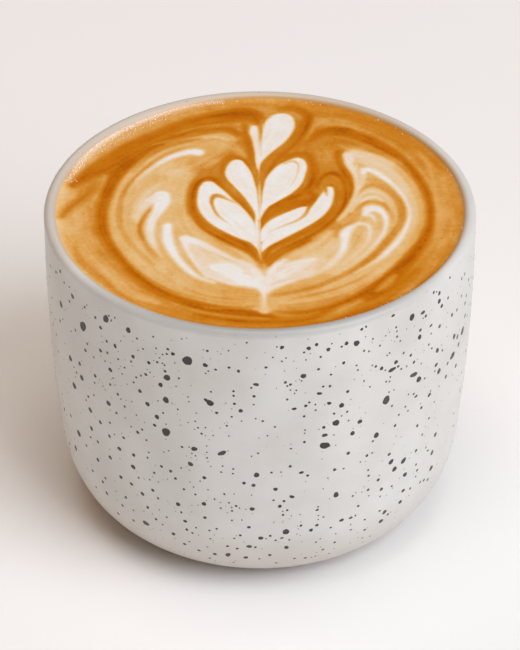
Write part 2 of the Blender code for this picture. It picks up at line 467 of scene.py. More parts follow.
# Strokes in plan, in millimetres: +x to the right and +y away from the drinker. Each stroke is
# (tones, softness, points). Tones go from 0 for dark crema to 1 for milk: one value, or several
# spread evenly along the stroke. Points are (x, y, half width).
RINGS = (
    # lighter crema outside the dark ring
    ((0.62, 0.42), 1.4, (
        (-39.5, 8, 2.5), (-38.5, 0, 3.4), (-37, -9, 3.6), (-34.5, -16, 3), (-31, -22, 2.8),
        (-27, -27, 2.6), (-22, -31, 2.2), (-16, -34.5, 1.6))),
    ((0.46, 0.28), 1.2, (
        (37.5, 14, 2.2), (38, 5, 2.8), (38, -4, 3), (36.5, -12, 3), (33, -19, 2.8), (28.5, -26, 2.4))),
    (0.3, 1.2, ((11, 36.5, 3), (20, 33.5, 3.2), (27, 28.5, 3.2), (33, 21, 2.8), (36.5, 14, 2.2))),
    (0.38, 1, ((-12, 37, 1.6), (-4, 38.4, 1.8), (4, 38, 2), (11, 37, 1.6))),
    ((0.5, 0.3, 0.28, 0.36, 0.46, 0.5), 1, (
        (12.2, 30.2, 0.7), (14.4, 32, 1.2), (18.4, 31.3, 1), (23.6, 28.5, 0.9), (29.2, 23, 1),
        (33.1, 15.8, 1), (35, 8, 1.2), (35.6, 0, 1.3), (35, -6, 1))),
    ((0.2, 0.24), 0.8, ((16, 34.4, 0.6), (21, 32.4, 0.8), (26, 28.8, 0.7), (30.6, 23.6, 0.5))),
    ((0.28, 0.16), 1.2, (
        (-22, -32, 2), (-15, -36, 2.4), (-5, -38.3, 2.4), (5, -38.3, 2.6), (14, -36.3, 2.8),
        (22, -32, 3.2), (27, -27.5, 3), (31, -22, 1.8))),
    ((0.4, 0.58, 0.64, 0.62, 0.66, 0.6), 0.6, (
        (-13.5, -37.6, 0.3), (-20, -34.6, 0.5), (-27.8, -28.6, 0.6), (-34.6, -19.8, 0.6),
        (-38.8, -9.6, 0.6), (-39.9, 0, 0.6), (-39.3, 8, 0.5))),
    # the dark ring, drawn out by the pour
    (0.12, 1.1, (
        (-37, 8.2, 0.8), (-34.4, 12, 2.3), (-28.9, 16.8, 2.8), (-25, 21.2, 3.1), (-19.4, 26, 2.8),
        (-13.6, 30.5, 2.6), (-8, 33.2, 2.5), (-3, 34, 2.7), (-0.4, 32.6, 1.9))),
    # lighter bubbly crema along the rim at the back left, partly a painted highlight
    ((0.44, 0.48, 0.46, 0.38), 1, (
        (-37.6, 9.8, 0.4), (-34.4, 17.6, 1), (-30.4, 23.1, 1.3), (-26.3, 27.6, 1.3),
        (-22.2, 31.2, 1.2), (-17.9, 33.9, 1.1), (-12.5, 36.5, 0.9), (-6, 38.3, 0.7))),
    ((0.12, 0.05, 0.05, 0.1), 0.9, (
        (-20, 22, 2), (-25, 17, 2), (-28, 12, 1.9), (-30, 5, 1.5), (-30.8, -2, 1.3), (-30.2, -8, 1.3),
        (-28, -14, 1.2), (-25, -19.5, 1.3), (-21.2, -24.6, 1.65), (-16, -29.5, 1.7), (-11, -32.4, 1.9),
        (-5, -34.4, 1.9), (1, -35.5, 1.5), (8, -34.9, 1.1), (14, -33, 1.2), (19, -30, 1.7),
        (22.9, -26.3, 2), (26.8, -20.5, 1.8), (30.4, -14, 1.4), (32.9, -8, 1), (33.8, -2, 0.75),
        (33.5, 5, 0.7), (31.6, 11.5, 0.8), (28.6, 17.6, 1.1), (25, 22.2, 1.4), (20.6, 26, 1.6),
        (16, 27.8, 1.5), (12.5, 27.4, 1.5), (10.4, 25, 1.4))),
    ((0.3, 0.46, 0.3), 0.7, ((22, 22.4, 0.5), (25.8, 18.8, 0.6), (28.8, 14.8, 0.8), (30, 10.5, 0.3))),
    ((0.44, 0.5, 0.44), 1.1, (
        (32.6, 19.6, 0.3), (34.3, 15.2, 0.8), (34.9, 10, 0.6), (35.2, 4, 0.4), (35.3, -2, 0.4),
        (34.6, -8, 0.3))),
    (0.22, 1, ((9.5, 22.5, 0.8), (12, 24.4, 1), (16, 24.6, 0.9), (20, 23, 0.6))),
    ((0.34, 0.36, 0.3), 0.5, (
        (-22, -27.8, 0.2), (-16.5, -31.4, 0.45), (-10.5, -34.2, 0.5), (-4, -35.8, 0.5),
        (2, -36.4, 0.2))),
    ((0, 0, 0.06), 0.5, (
        (-24.5, -17, 0.2), (-21.6, -22.6, 0.4), (-17.6, -26.8, 0.4), (-12.8, -30, 0.35),
        (-8, -32.2, 0.2))),
    ((0.04, 0, 0.04), 0.5, (
        (-12, -34.9, 0.2), (-6, -36.6, 0.35), (1, -37.3, 0.4), (8, -36.8, 0.3), (13, -35.2, 0.2))),
    ((0.4, 0.45), 0.8, ((-32.6, 3, 0.9), (-31.8, 7.5, 0.8), (-30.8, 11.5, 0.4))),
    ((0.26, 0.24, 0.34), 1.2, (
        (-38.6, -3, 0.7), (-37.2, 0.2, 1.1), (-35.2, 3, 0.9), (-33.4, 6, 0.9), (-32.4, 9.5, 0.9))),
    ((0.38, 0.32), 0.8, (
        (-35.6, -13, 0.5), (-34.1, -17.6, 0.9), (-30.6, -22.6, 1), (-26, -28.5, 0.9), (-20, -33, 0.8),
        (-14, -35.8, 0.7))),
    (0.55, 0.8, ((-32, -16.4, 0.5), (-28, -23, 0.8), (-24, -28.5, 1), (-19, -31.3, 0.7))),
    ((0.36, 0.46, 0.44), 0.9, ((12, -36.5, 0.6), (15.5, -33.6, 0.9), (19, -31, 0.8))),
    (0.42, 0.8, ((22.4, -27.4, 0.3), (24.3, -25.2, 0.9), (25.9, -22.6, 0.4))),
    ((0.36, 0.28), 1, ((2.4, -34.2, 0.4), (4.4, -35.2, 0.8), (8, -35.3, 0.6), (11, -34.3, 0.2))),
    (0.4, 1, ((26, -30, 1), (30, -24.5, 1), (33, -18.5, 1.2), (35.5, -11, 1.2))),
)
MASSES = (
    # the milky tan that the first pour spread to either side
    ((0.55, 0.62, 0.58, 0.5), 0.9, (
        (-7, 23.6, 2.2), (-12, 21.5, 3.9), (-18, 16.5, 4.8), (-22.5, 9, 5), (-24.2, 0, 5),
        (-23.8, -8, 4.9), (-20.6, -16, 4.6), (-15.3, -23, 4.7), (-8, -27.7, 4.2), (0, -30.5, 3))),
    ((0.62, 0.62, 0.6, 0.52), 0.8, (
        (19.4, 18.6, 2.5), (23.4, 14.2, 4), (25.6, 6.6, 5.1), (25.6, -3, 6), (22.9, -11, 6.6),
        (17, -19, 6.8), (9, -25.5, 5.2), (1, -30.2, 3.2))),
    (0.62, 1.2, ((-16, 12, 3), (-17, 4, 3), (-17, -4, 4), (-14, -11, 4.5), (-8, -17, 4), (-2, -22, 3))),
    (0.58, 1, (
        (-18, 22.6, 0.7), (-13, 25.6, 0.9), (-8, 26.2, 1.5), (-4.6, 23.5, 1.6), (-2.6, 18.8, 1),
        (-1.2, 13.5, 0.5))),
    ((0.36, 0.28, 0.34), 0.5, (
        (-21.5, 23, 0.2), (-16, 25.4, 0.4), (-10.5, 27.4, 0.45), (-6, 27.6, 0.4), (-3.8, 24.4, 0.3))),
    ((0.34, 0.32, 0.26), 0.6, (
        (-17, 27.2, 0.3), (-11.5, 29.8, 0.45), (-6.5, 30.5, 0.5), (-4.2, 29.4, 0.3))),
    ((0.5, 0.44), 0.4, ((-12.4, 23.6, 0.2), (-8.8, 24.9, 0.3), (-6.4, 23.6, 0.2), (-5.2, 20.6, 0.15))),
    ((0.7, 0.62), 0.5, ((-12.6, 25.2, 0.2), (-9, 26, 0.3), (-6.4, 25, 0.2))),
    ((0.4, 0.3), 0.7, (
        (-25.3, 13.2, 0.3), (-22.4, 18.6, 0.5), (-19.6, 21.6, 0.8), (-16.8, 23.5, 0.9),
        (-14, 24.6, 0.5), (-11.6, 25.2, 0.2))),
    # the brown ground under the leaf
    (0.29, 0.8, (
        (1, -18.4, 0.4), (1.1, -15, 1.9), (1.3, -12, 4.2), (1.3, -9, 6.7), (1.8, -1, 12.4),
        (2.4, 5, 15.6), (3.5, 11, 15.2), (5.5, 17, 11.8), (7.5, 22, 8.6), (9, 27, 5.5))),
    (0.3, 0.9, ((-8, 12.5, 2.2), (-6, 17, 1.6), (-3.6, 20.5, 1), (-2.4, 26, 0.9))),
    ((0.48, 0.54, 0.52, 0.42), 1.1, (
        (-13.4, 16.4, 1.2), (-10.2, 19.6, 1.9), (-7.2, 22.2, 1.6), (-4.9, 21.8, 0.9),
        (-3.5, 19.2, 0.4))),
    (0.17, 0.8, ((-12, 27.9, 0.4), (-8, 28.9, 0.8), (-5.4, 28.5, 0.9), (-3.9, 26.4, 0.5))),
    (0.5, 0.9, ((-5.6, 23.6, 0.7), (-4.4, 21, 0.7), (-3.1, 18.4, 0.5))),
    ((0.4, 0.44, 0.36), 0.6, ((-10.5, 15, 0.8), (-8.6, 17.4, 0.9), (-7.2, 19.4, 0.6))),
)
HALOS = (
    # crema pushed up dark against the leaf
    (0.26, 0.7, (
        (-8.2, 9.6, 0.6), (-10.2, 11.4, 0.9), (-12.3, 9.4, 1), (-13.3, 5, 1), (-13.2, 0, 1),
        (-11.9, -3.8, 1), (-9.2, -7.3, 1.2), (-5.9, -10.4, 1.2), (-2.9, -12.8, 1.1),
        (-0.7, -15.6, 0.7), (0.4, -18.4, 0.3))),
    ((0.16, 0.04, 0.04, 0.08, 0.06, 0.1), 0.6, (
        (-8.2, 9.6, 0.4), (-10.2, 10.9, 0.5), (-12.1, 9.2, 0.6), (-13.1, 5, 0.6), (-13, 0, 0.6),
        (-11.7, -4, 0.5), (-9, -7.2, 0.4), (-5.6, -10.2, 0.5), (-2.6, -12.4, 0.5), (-0.7, -15.6, 0.4))),
    ((0.18, 0.1, 0.08), 0.5, (
        (-13, -0.6, 0.1), (-12.2, -3.8, 0.3), (-10.7, -6.8, 0.4), (-7.9, -9.7, 0.45),
        (-4.8, -12.3, 0.42), (-2.1, -14.5, 0.32), (-0.4, -17.4, 0.25))),
    ((0.14, 0.2, 0.14, 0.2), 0.6, (
        (-8.6, 10.2, 0.9), (-6.6, 6.9, 0.9), (-4.2, 3.4, 0.9), (-2.5, 0, 0.7), (-1.4, -3.5, 0.5),
        (-0.7, -7, 0.3))),
    ((0.16, 0.1, 0.24), 0.8, (
        (-7.3, 13, 0.6), (-6.9, 16.4, 0.7), (-5.2, 18.3, 0.7), (-3.2, 17.2, 0.5), (-1.5, 14, 0.4),
        (-0.6, 9, 0.3))),
    ((0.12, 0.1, 0.14, 0.36), 0.7, (
        (-2.9, 30.5, 0.7), (-2.7, 26, 0.6), (-1.9, 21.5, 0.6), (-1.2, 17, 0.6), (-0.7, 13, 0.5))),
    ((0.14, 0.16, 0.2, 0.22), 0.8, (
        (10.2, 33.6, 1), (9.6, 29.5, 1.1), (7.9, 25, 1), (5.2, 20.6, 0.9), (3.2, 16.8, 0.8))),
    ((0.02, 0, 0.02, 0.06, 0.08, 0.2), 0.45, (
        (10.6, 33.6, 0.5), (10.2, 30.5, 0.55), (8.9, 26.4, 0.4), (6.6, 22, 0.35), (4.2, 18, 0.35),
        (2.5, 14.5, 0.5), (1.3, 10.5, 0.5))),
    ((0.24, 0.1, 0.06, 0.1, 0.16), 0.8, (
        (4.2, 17, 0.5), (6.7, 19.1, 0.7), (9.5, 19.2, 0.9), (10.9, 16.5, 0.9), (11.1, 12.5, 0.9),
        (10.4, 8.5, 0.9), (8.6, 5.2, 0.9), (6, 3.2, 0.9), (3.6, 1.6, 0.9), (1.9, -0.7, 0.7),
        (0.9, -3.5, 0.5), (0.5, -7.5, 0.3))),
    ((0.1, 0.12, 0.1), 0.8, (
        (9.6, 6, 1), (11, 4, 1), (9, 2, 1.4), (6, 1, 1.1), (3.2, -0.6, 1), (1.5, -3.2, 0.6))),
    ((0.12, 0.05, 0.05, 0.1), 0.6, (
        (11.5, 7.5, 0.5), (12.4, 10.6, 0.6), (14.4, 12.7, 0.8), (16.6, 10.8, 0.6), (17.3, 6.5, 0.4),
        (17, 2, 0.5), (15.3, -2.6, 0.5), (12.4, -6.8, 0.55), (8.9, -10.4, 0.55), (5.6, -13.1, 0.5),
        (3.2, -15.3, 0.5), (1.6, -18, 0.4))),
    ((0.28, 0.16, 0.1, 0.12), 0.6, (
        (13.6, 9, 0.4), (15.3, 8, 0.4), (15.8, 4.5, 0.5), (15.2, 0.5, 0.6), (13.3, -3.2, 0.7),
        (10.4, -6.5, 0.75), (6.9, -9.4, 0.75), (3.9, -11.8, 0.7), (2, -14.2, 0.6), (1.2, -17, 0.4))),
    (0.33, 0.6, ((12.7, 8.2, 0.4), (14.5, 10.2, 0.7), (16.1, 8, 0.4))),
    ((0.16, 0.1), 0.8, (
        (16, 20.5, 0.7), (15.9, 17, 0.7), (17.2, 12.5, 0.7), (18.4, 8, 0.6), (18, 4, 0.4))),
    ((0.14, 0.08, 0.05, 0.05), 0.9, (
        (9.4, 23, 0.5), (10.8, 25.1, 0.9), (12.6, 27, 1.2), (15, 28.2, 1.4), (18, 28, 1.3))),
    ((0.3, 0.42, 0.48, 0.42), 0.7, (
        (9.4, 24.8, 0.15), (10.4, 27, 0.35), (11.2, 29.4, 0.5), (12.8, 31.6, 0.8), (15.4, 32.2, 0.8))),
    (0.05, 1.1, (
        (-11, 33.2, 0.6), (-6.5, 34.6, 1.2), (-3, 34.8, 1.8), (-0.8, 33.8, 1.4), (0.1, 31.2, 0.4))),
    ((0.22, 0.12, 0.06), 1, ((4.4, 36.4, 0.5), (7, 36.8, 1.1), (9.2, 35.4, 1), (10.2, 33.6, 0.6))),
    ((0.36, 0.4, 0.34), 1.3, ((12, 22.4, 0.8), (12.7, 20.6, 1.5), (13.3, 17, 1.4), (13.4, 14, 0.8))),
)
HOOKS = (
    (0.68, 0.5, ((-6.4, -12.9, 0.1), (-4.6, -14.1, 0.35), (-2.5, -16.4, 0.6), (-1.1, -18.8, 0.7))),
    # left side: streak and hooks
    ((0.5, 0.38, 0.42, 0.5), 0.5, (
        (-13.2, 22.4, 0.3), (-17, 20.8, 0.5), (-21, 16.6, 0.6), (-24.3, 11.5, 0.5), (-26.6, 6, 0.5),
        (-27.4, 0, 0.6), (-27, -6, 0.6), (-24.6, -12.5, 0.5), (-20, -19, 0.4))),
    ((0.97, 0.98, 0.9, 0.8, 0.66), 0.6, (
        (-12.2, 20.05, 1.2), (-14.2, 20.2, 0.95), (-18.2, 18, 0.75), (-21.4, 14.4, 0.6),
        (-23.9, 10.6, 0.5), (-25.6, 6.5, 0.4))),
    ((0.7, 0.76), 0.9, ((-17.6, 15.6, 0.8), (-19.5, 13.2, 1.2), (-16.2, 12.8, 1))),
    ((0.72, 0.78, 0.7), 0.8, ((-19.2, 9.2, 0.5), (-22, 5.6, 0.7), (-23.8, 1.5, 0.7), (-24.4, -3, 0.6))),
    ((0.36, 0.36, 0.6, 0.56, 0.44), 0.5, (
        (-21.3, -0.2, 0.2), (-22.6, -3.4, 0.5), (-23.2, -7, 0.45), (-22, -11.8, 0.4), (-20, -16, 0.6),
        (-17, -20.8, 0.7), (-13.4, -24.8, 0.9), (-9, -27.4, 1.1), (-4.5, -28.7, 1.1), (-0.6, -29, 0.6))),
    ((0.97, 0.98, 0.95, 0.92, 0.74), 0.55, (
        (-19.2, 4.6, 1.7), (-19.1, 2, 1.7), (-19.8, -1, 1.15), (-20.9, -4.5, 0.95),
        (-21.1, -8.5, 0.85), (-20.2, -12.6, 0.5), (-18.6, -16.4, 0.3))),
    ((0.96, 0.88, 0.84, 0.78), 0.6, (
        (-19.9, 4.1, 1.1), (-21.5, 2.7, 1.2), (-22.9, 0.2, 0.8), (-23.8, -2.4, 0.6),
        (-23.9, -4.6, 0.3))),
    ((0.98, 0.97, 0.95, 0.9), 0.6, (
        (-17.8, -5.9, 0.95), (-17.7, -9.5, 1.1), (-17.1, -13, 1.05), (-15.7, -16.8, 0.85),
        (-13.8, -20.2, 0.8), (-11.4, -23.1, 0.6), (-8.6, -24.8, 0.4))),
    (0.84, 0.8, (
        (-12.6, -12, 1.6), (-10.6, -15.6, 2.4), (-8, -19, 2.6), (-4, -20.5, 2.4), (-1.2, -22, 1.4))),
    ((0.97, 0.95, 0.92, 0.86), 0.5, (
        (-14.2, -10.2, 1), (-11.8, -11.5, 0.9), (-8.8, -13.9, 0.8), (-5.6, -16.6, 0.6),
        (-2.2, -19.4, 0.6), (0, -21.6, 0.4))),
    ((0.97, 0.93, 0.9, 0.85), 0.5, (
        (-14.4, -10.4, 1), (-13.9, -13.4, 0.6), (-12.7, -16.8, 0.5), (-11.2, -20, 0.6),
        (-9.8, -23, 0.6))),
    ((0.97, 0.98, 0.97), 0.9, (
        (-8.2, -19.8, 1.5), (-5.8, -21, 2.6), (-4.2, -23.1, 2.7), (-1.6, -24.9, 1.7), (1.4, -26.4, 1))),
    (0.87, 0.6, ((-2.4, -21.6, 0.5), (-0.8, -22, 0.5))),
    # right side: the broad mass, its bright edges and inner curls
    ((0.8, 0.76, 0.7, 0.6), 0.8, (
        (19.2, 19.2, 1.6), (23, 17.1, 2.1), (26.9, 12.8, 1.9), (29.5, 7.2, 1.4), (30.6, 0, 1),
        (30.1, -6, 1), (28.2, -12, 0.9))),
    ((0.58, 0.5), 0.7, (
        (27.4, 14.6, 0.4), (30.2, 9, 0.6), (31.9, 1.5, 0.5), (31.6, -5, 0.5), (29.8, -11.5, 0.5))),
    ((0.92, 0.9, 0.85, 0.74), 0.6, (
        (18, 19, 1), (18.5, 15.6, 1.1), (19.4, 11.8, 0.6), (19.7, 8, 0.5), (19.1, 3.8, 0.6),
        (17.7, -0.2, 0.5), (15.7, -4, 0.4))),
    (0.62, 0.4, ((19.2, 16.2, 0.2), (19.3, 15.4, 0.2))),
    ((0.5, 0.44, 0.46), 0.6, ((21.8, 10.4, 0.7), (24, 9.2, 1.2), (26.4, 6.2, 0.8))),
    ((0.96, 0.97, 0.93, 0.92, 0.96, 0.94, 0.74), 0.6, (
        (20.8, 11.2, 0.5), (21.2, 13.6, 0.9), (23, 13.2, 0.9), (25.6, 10.2, 0.7), (27.6, 6.8, 0.5),
        (29, 3, 0.5), (29.6, -1.5, 0.5), (28.9, -6, 0.5), (27.3, -10.4, 0.65), (25, -14.4, 0.65),
        (22.4, -17.9, 0.5), (18.5, -21.2, 0.4))),
    ((0.82, 0.84), 0.5, ((20.9, 11.4, 0.6), (20.4, 8.4, 0.5), (19.8, 5, 0.5))),
    ((0.44, 0.38, 0.36, 0.34, 0.34, 0.36, 0.42), 0.55, (
        (19.8, 3.2, 0.3), (20.6, 6.6, 0.4), (22.4, 8.2, 0.6), (25, 7, 0.7), (27.2, 3.8, 0.8),
        (28.1, -0.5, 0.9), (27.7, -5, 0.8), (25.7, -9.6, 0.8), (23.1, -14.2, 0.85), (20.1, -18.2, 0.9),
        (16, -22.4, 0.8), (11.6, -25.6, 0.8), (7, -27.8, 0.8), (3, -28.9, 0.7))),
    ((0.76, 0.82, 0.78, 0.66), 0.6, (
        (18.2, -1, 0.4), (19.4, 2.4, 0.5), (20.8, 5.4, 0.5), (22.8, 6, 0.8), (24.9, 4.4, 0.6),
        (26.1, 1, 0.4))),
    ((0.9, 0.85), 0.5, ((19.6, 0.6, 0.3), (20.9, 3.2, 0.5), (22.8, 4.1, 0.6), (24.6, 2.8, 0.3))),
    ((0.46, 0.4, 0.42, 0.55), 0.45, (
        (18.4, -3, 0.3), (19.6, 0, 0.5), (21, 2, 0.5), (22.8, 2.4, 0.45), (24.6, 1.2, 0.5),
        (25.9, -1.6, 0.4), (26.2, -5, 0.4))),
    ((0.48, 0.46), 0.7, ((16.2, -4.8, 0.6), (18.4, -3.2, 0.7), (20, -1.6, 0.5))),
    ((0.7, 0.66), 0.9, ((21.8, -6, 1.4), (21.6, -10, 2), (18.8, -15, 2.4), (14, -20, 2.4))),
    ((0.94, 0.98, 0.97, 0.93, 0.82, 0.62), 0.55, (
        (20.9, -2.2, 0.5), (21.6, -0.3, 1.1), (23.2, -0.2, 1.1), (24.5, -2, 0.7), (24.9, -5, 0.5),
        (24.2, -8.6, 0.45), (22.5, -12.2, 0.35), (20.2, -15.8, 0.3), (17, -19.8, 0.3))),
    (0.93, 0.5, ((20.9, -2, 0.5), (22.2, -2.6, 0.5), (22.8, -4.4, 0.3))),
    (0.62, 0.5, ((23.4, -2.6, 0.4), (23.5, -4.6, 0.4))),
    ((0.92, 0.88, 0.8, 0.74), 0.5, (
        (19.6, -5.2, 0.5), (21.2, -5.6, 0.4), (21.7, -8, 0.4), (20.9, -11.6, 0.4), (18.8, -15.4, 0.4),
        (16, -19, 0.3))),
    ((0.56, 0.58, 0.62), 0.45, (
        (20.4, -7, 0.4), (19.4, -9.6, 0.5), (18.5, -12.6, 0.4), (17.3, -15.4, 0.3))),
    ((0.9, 0.97, 0.95, 0.88, 0.8, 0.74), 0.6, (
        (19.4, -5.3, 0.45), (17.7, -6.9, 0.9), (16.8, -8.8, 1.15), (16.6, -11.4, 0.95),
        (16.1, -14.2, 0.8), (14.8, -17.2, 0.8), (12.6, -20.2, 0.7), (9.4, -23, 0.6))),
    (0.7, 1, ((14.5, -11, 1.2), (13, -14.5, 1.6), (9, -16, 1.4))),
    ((0.66, 0.6), 0.8, ((13.9, -8.4, 0.8), (11.4, -12, 0.9), (7.6, -15.4, 1), (4.4, -18.6, 0.8))),
    ((0.84, 0.86, 0.8), 1.2, ((1.8, -23, 2), (5, -22, 2.2), (8.6, -20.4, 2), (11.5, -17.6, 1.2))),
    ((0.92, 0.97, 0.95), 0.7, ((4.2, -19.6, 0.6), (7, -18.5, 0.95), (10.3, -17.3, 0.8))),
    ((0.78, 0.82), 0.7, ((5.4, -20.6, 0.4), (8.6, -20.2, 0.5))),
    ((0.9, 0.92, 0.95, 0.97), 0.8, (
        (10.6, -21.3, 0.5), (8.3, -23.1, 0.6), (5.4, -24.7, 0.7), (3, -26.1, 0.9), (1.3, -27.5, 0.8))),
    (0.97, 0.9, ((2.6, -21.2, 0.6), (3.2, -22.2, 0.9), (2.2, -24.2, 1))),
    ((0.95, 0.96, 0.94), 0.9, (
        (2.4, -24.2, 0.8), (4.4, -22.2, 1.3), (6.6, -20.2, 1.3), (8.9, -18.5, 0.9))),
    (0.93, 0.7, ((-10.6, -20.2, 0.6), (-8.6, -22.8, 1.1), (-5.2, -24.6, 0.9))),
    (0.94, 0.7, ((-3.4, -17.8, 0.5), (-1.5, -19.6, 0.8), (-0.5, -21.6, 1), (0.1, -23.4, 1))),
    (0.95, 0.7, ((5, -17.6, 0.5), (3.3, -19.4, 0.9), (2.5, -21.6, 0.9), (2.1, -23.6, 0.8))),
    (0.12, 0.5, (
        (9.8, -10.7, 0.4), (7.4, -12.8, 0.6), (5.3, -14.4, 0.6), (3.8, -15.9, 0.6), (2.6, -17.6, 0.6),
        (1.9, -19.2, 0.35))),
    ((0.4, 0.62, 0.84), 0.4, ((1.1, -19, 0.3), (1.15, -21, 0.22), (1.2, -23.6, 0.1))),
    # the pull-through's tail
    ((0.97, 0.97, 0.92, 0.86, 0.74), 0.6, (
        (0.6, -24.6, 1.9), (1, -26.6, 1.2), (1, -28.6, 0.5), (1, -30.4, 0.3), (1, -32, 0.5),
        (1.1, -33.8, 1))),
    ((0.7, 0.74, 0.62), 1, ((-0.4, -33.2, 0.3), (1.2, -33.5, 0.6), (2.8, -33, 0.3))),
    # threads of crema round the foot
    ((0.36, 0.42, 0.5), 0.4, (
        (-22, -22.4, 0.2), (-17.5, -26.8, 0.35), (-12, -29.6, 0.35), (-6, -31.2, 0.3),
        (-2, -31.4, 0.2))),
    ((0.48, 0.4, 0.44), 0.4, (
        (-14, -26.8, 0.2), (-9.5, -29.3, 0.3), (-4.5, -30.2, 0.3), (-0.4, -30.2, 0.2))),
    ((0.3, 0.34, 0.44), 0.4, ((-10, -32.8, 0.2), (-5, -33, 0.3), (-1, -32.6, 0.2))),
    ((0.5, 0.4, 0.44, 0.56), 0.4, (
        (2.4, -30.4, 0.2), (8, -29.6, 0.35), (14, -27.2, 0.35), (19.5, -23.4, 0.3), (22, -20.8, 0.15))),
    ((0.46, 0.4, 0.48), 0.4, (
        (3, -32.4, 0.2), (9, -31.6, 0.35), (15, -29.4, 0.3), (20, -26, 0.2), (23.4, -22.4, 0.2))),
    ((0.6, 0.62, 0.56), 0.4, ((4, -31.4, 0.2), (10, -30.4, 0.3), (16, -28, 0.3), (20.6, -24.4, 0.2))),
)
PETALS = (
    ((0.98, 0.98), 0.35, (
        (0.1, -14.2, 0.2), (-0.8, -11, 1.1), (-2.6, -8, 2.5), (-4.6, -5, 3.6), (-6.6, -2, 4.1),
        (-8.2, 1, 3.8), (-9.1, 4, 3.05), (-9.8, 6.6, 2.15), (-10, 8.2, 1.4))),
    ((0.84, 0.62, 0.34, 0.28, 0.34, 0.6, 0.9), 0.3, (
        (-3.7, 1, 0.12), (-5, 2.4, 0.28), (-6.4, 3.4, 0.32), (-7.6, 4.3, 0.58), (-8.75, 4.4, 0.66),
        (-9.3, 2.9, 0.42), (-9.15, 1.2, 0.3), (-8.3, -1.7, 0.22), (-6.8, -4.1, 0.15), (-5.2, -6, 0.05))),
    (0.98, 0.35, (
        (0.7, -14.5, 0.2), (1.4, -12.2, 0.9), (3.4, -9.6, 1.5), (5.8, -7.2, 1.7), (8.45, -4.7, 1.75),
        (10.8, -2.1, 1.75), (12.4, 0.8, 1.7), (13.3, 3.6, 1.45), (13.9, 5.8, 1.05), (14.1, 7, 0.7))),
    (0.98, 0.35, (
        (0.6, -11, 0.4), (1.6, -8, 1.3), (3.2, -5.6, 1.7), (5.3, -3.6, 1.7), (7.4, -1.6, 1.35),
        (8.6, -0.3, 0.9), (9.3, 0.3, 0.4))),
    ((0.3, 0.46, 0.62, 0.76, 0.88), 0.3, (
        (9.9, 0.8, 0.3), (9.2, -1.9, 0.35), (7.5, -4.1, 0.28), (4.9, -5.9, 0.2), (2.8, -7.3, 0.12),
        (1.9, -8.6, 0.05))),
    ((0.3, 0.44, 0.8), 0.3, ((12.8, 8, 0.5), (13.2, 6.4, 0.5), (13.5, 4.4, 0.14))),
    (0.98, 0.35, (
        (-0.1, -3.5, 0.25), (-0.55, 0, 0.65), (-1.25, 3, 1.1), (-2, 6, 1.68), (-3.05, 9, 2.22),
        (-4.05, 12, 2.65), (-4.35, 14.3, 2.12), (-4.35, 16, 1.45))),
    (0.98, 0.35, (
        (0.1, -3.5, 0.2), (0.6, -1, 0.55), (1.25, 1.1, 0.85), (2.15, 3.1, 1.55), (3.1, 5.3, 2.4),
        (4.05, 7.2, 3.1), (5.1, 10, 3.65), (6.2, 13, 3.25), (7.25, 15, 2.45), (7.8, 16.5, 1.55))),
    ((0.7, 0.76, 0.9), 0.3, (
        (5, 15.9, 0.2), (6.4, 16.8, 0.24), (7.4, 16.6, 0.28), (8, 15.1, 0.17), (7.75, 12.5, 0.12),
        (6.9, 9.2, 0.08), (5.6, 6.6, 0.05))),
    (0.98, 0.35, (
        (-0.2, 14.8, 0.15), (0.3, 18, 0.85), (1.8, 22, 1.75), (3.3, 26, 2.75), (4.2, 30, 3.2),
        (4.65, 32.3, 2.48))),
    (0.96, 0.35, (
        (-0.15, 14, 0.15), (-0.2, 18, 0.45), (-0.3, 21, 0.6), (-0.65, 25, 0.72), (-1, 27.8, 0.92),
        (-1, 29.5, 0.62))),
    ((0.26, 0.36, 0.8, 0.88), 0.3, (
        (0.6, 32, 0.5), (0.45, 28.5, 0.3), (0.4, 24, 0.12), (0.4, 19, 0.08))),
    # stem lines
    (0.95, 0.35, ((-0.45, -1.6, 0.08), (-0.4, -3.8, 0.3), (-0.35, -6.5, 0.5), (-0.2, -10, 0.4))),
    ((0.94, 0.6, 0.4), 0.3, ((0, 15.4, 0.22), (0.05, 13.4, 0.16), (0.1, 11, 0.06))),
    ((0.44, 0.74, 0.84, 0.88), 0.3, (
        (0.15, 9.8, 0.2), (0.15, 6.6, 0.3), (0.2, 3.4, 0.28), (0.25, -0.6, 0.1))),
    ((0.88, 0.86, 0.86, 0.82, 0.45), 0.3, (
        (0.2, -1, 0.1), (0.2, -6, 0.12), (0.2, -10, 0.16), (0.15, -14.2, 0.3), (0.5, -17.4, 0.1))),
)
# the froth band at the back left: real large bubbles, and a painted highlight where the meniscus at the
# wall catches the light
FROTH = (
    ((0.1, 0.18, 0.18, 0.1), 0.8, (
        (-37.6, 9.6, 0.3), (-34.7, 17.8, 0.7), (-30.7, 23.4, 0.9), (-26.5, 27.9, 0.9),
        (-22.3, 31.6, 0.8), (-17.9, 34.3, 0.6), (-12.6, 36.9, 0.4))),
    ((0.4, 1, 1, 0.9, 0.6), 0.6, (
        (-38.4, 9.6, 0.3), (-36, 16.8, 0.5), (-32.6, 23.1, 0.7), (-28.6, 28.1, 0.8), (-24.1, 32, 0.7),
        (-19.4, 35.1, 0.6), (-14.7, 37.3, 0.45), (-8, 39.1, 0.3))),
)
